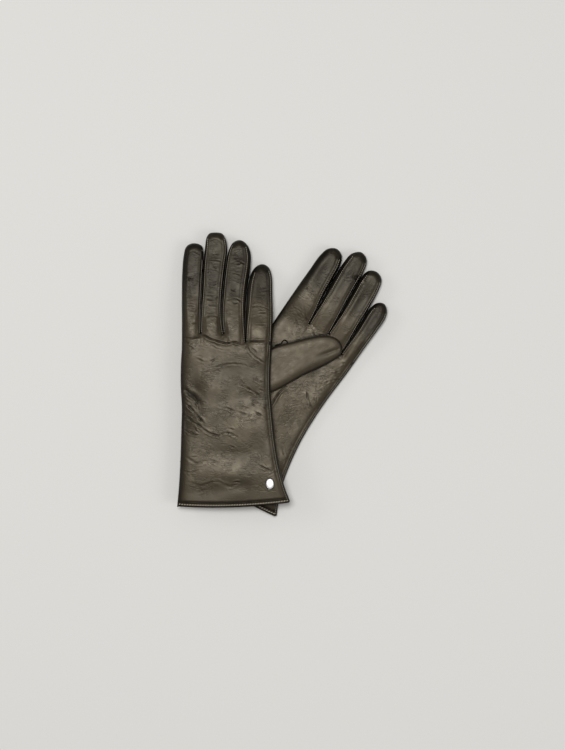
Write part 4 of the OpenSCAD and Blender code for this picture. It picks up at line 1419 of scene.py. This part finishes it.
class GLOVES_OT_stage(bpy.types.Operator):
    """Sets out the pale table, the soft lights and the camera over the pair"""

    bl_idname = "gloves.stage"
    bl_label = "Stage"

    def execute(self, context):
        bpy.ops.mesh.primitive_plane_add(size=6)
        floor = context.active_object
        floor.name = "pale_table"
        material, tree, place = new_material("matt_paper_sweep")
        tooth = bumped(tree, clouds(tree, place, 1.5, 2.0), 0.05, 0.1)
        paper = (*context.scene.glove_colours.floor, 1.0)
        surface(tree, Base_Color=paper, Roughness=0.95, Specular_IOR_Level=0.1, Normal=tooth)
        floor.data.materials.append(material)
        # Three soft boxes that face the gloves: place, width, height and watts.
        for name, place, wide, tall, power in (
            ("overhead_box", (-0.35, 0.45, 3.1), 1.1, 0.9, 59),
            ("low_window", (-1.8, 0.6, 1.1), 1.2, 0.6, 5),
            ("right_fill", (1.7, -0.7, 1.5), 1.2, 1.0, 8),
        ):
            light = bpy.data.lights.new(name, "AREA")
            light.shape, light.size, light.size_y, light.energy = "RECTANGLE", wide, tall, power
            lamp = bpy.data.objects.new(name, light)
            lamp.location = place
            lamp.rotation_euler = (Vector((0, 0, 0)) - Vector(place)).to_track_quat("-Z", "Y").to_euler()
            context.scene.collection.objects.link(lamp)
        world = bpy.data.worlds.new("pale_room")
        context.scene.world = world
        world.use_nodes = True
        sky = world.node_tree.nodes["Background"].inputs
        sky["Color"].default_value, sky["Strength"].default_value = (0.96, 0.97, 1.0, 1), 0.24
        camera = bpy.data.cameras.new("overhead")
        camera.lens, camera.sensor_width = 100, 36
        rig = bpy.data.objects.new("overhead", camera)
        # A square look down that frames 565 by 750 mm at the height of the gloves.
        rig.location = (-0.0004, 0.0001, 2.095)
        context.scene.collection.objects.link(rig)
        context.scene.camera = rig
        context.scene.view_settings.view_transform = "Standard"
        return {"FINISHED"}


class GLOVES_PT_panel(bpy.types.Panel):
    """Lists the gloves' sizes, colours and steps"""

    bl_idname = "GLOVES_PT_panel"
    bl_label = "Leather gloves"
    bl_space_type = "VIEW_3D"
    bl_region_type = "UI"
    bl_category = "Gloves"

    def draw(self, context):
        for group in (context.scene.glove_sizes, context.scene.glove_colours):
            for key in group.__annotations__:
                self.layout.prop(group, key)
        for step in STEPS:
            self.layout.operator(step.bl_idname)


STEPS = (GLOVES_OT_stage, GLOVES_OT_right_leather, GLOVES_OT_left_leather, GLOVES_OT_thumbs, GLOVES_OT_seam_loop,
         GLOVES_OT_linings, GLOVES_OT_stitching, GLOVES_OT_badge)
CLASSES = (GloveSizes, GloveColours, *STEPS, GLOVES_PT_panel)


def register():
    for item in CLASSES:
        bpy.utils.register_class(item)
    bpy.types.Scene.glove_sizes = bpy.props.PointerProperty(type=GloveSizes)
    bpy.types.Scene.glove_colours = bpy.props.PointerProperty(type=GloveColours)


def unregister():
    del bpy.types.Scene.glove_colours
    del bpy.types.Scene.glove_sizes
    for item in reversed(CLASSES):
        bpy.utils.unregister_class(item)


def main():
    """Sets the stage and builds the pair, one step after another."""
    register()
    bpy.ops.gloves.stage()
    bpy.ops.gloves.right_leather()
    bpy.ops.gloves.left_leather()
    bpy.ops.gloves.thumbs()
    bpy.ops.gloves.seam_loop()
    bpy.ops.gloves.linings()
    bpy.ops.gloves.stitching()
    bpy.ops.gloves.badge()


if __name__ == "__main__":
    main()
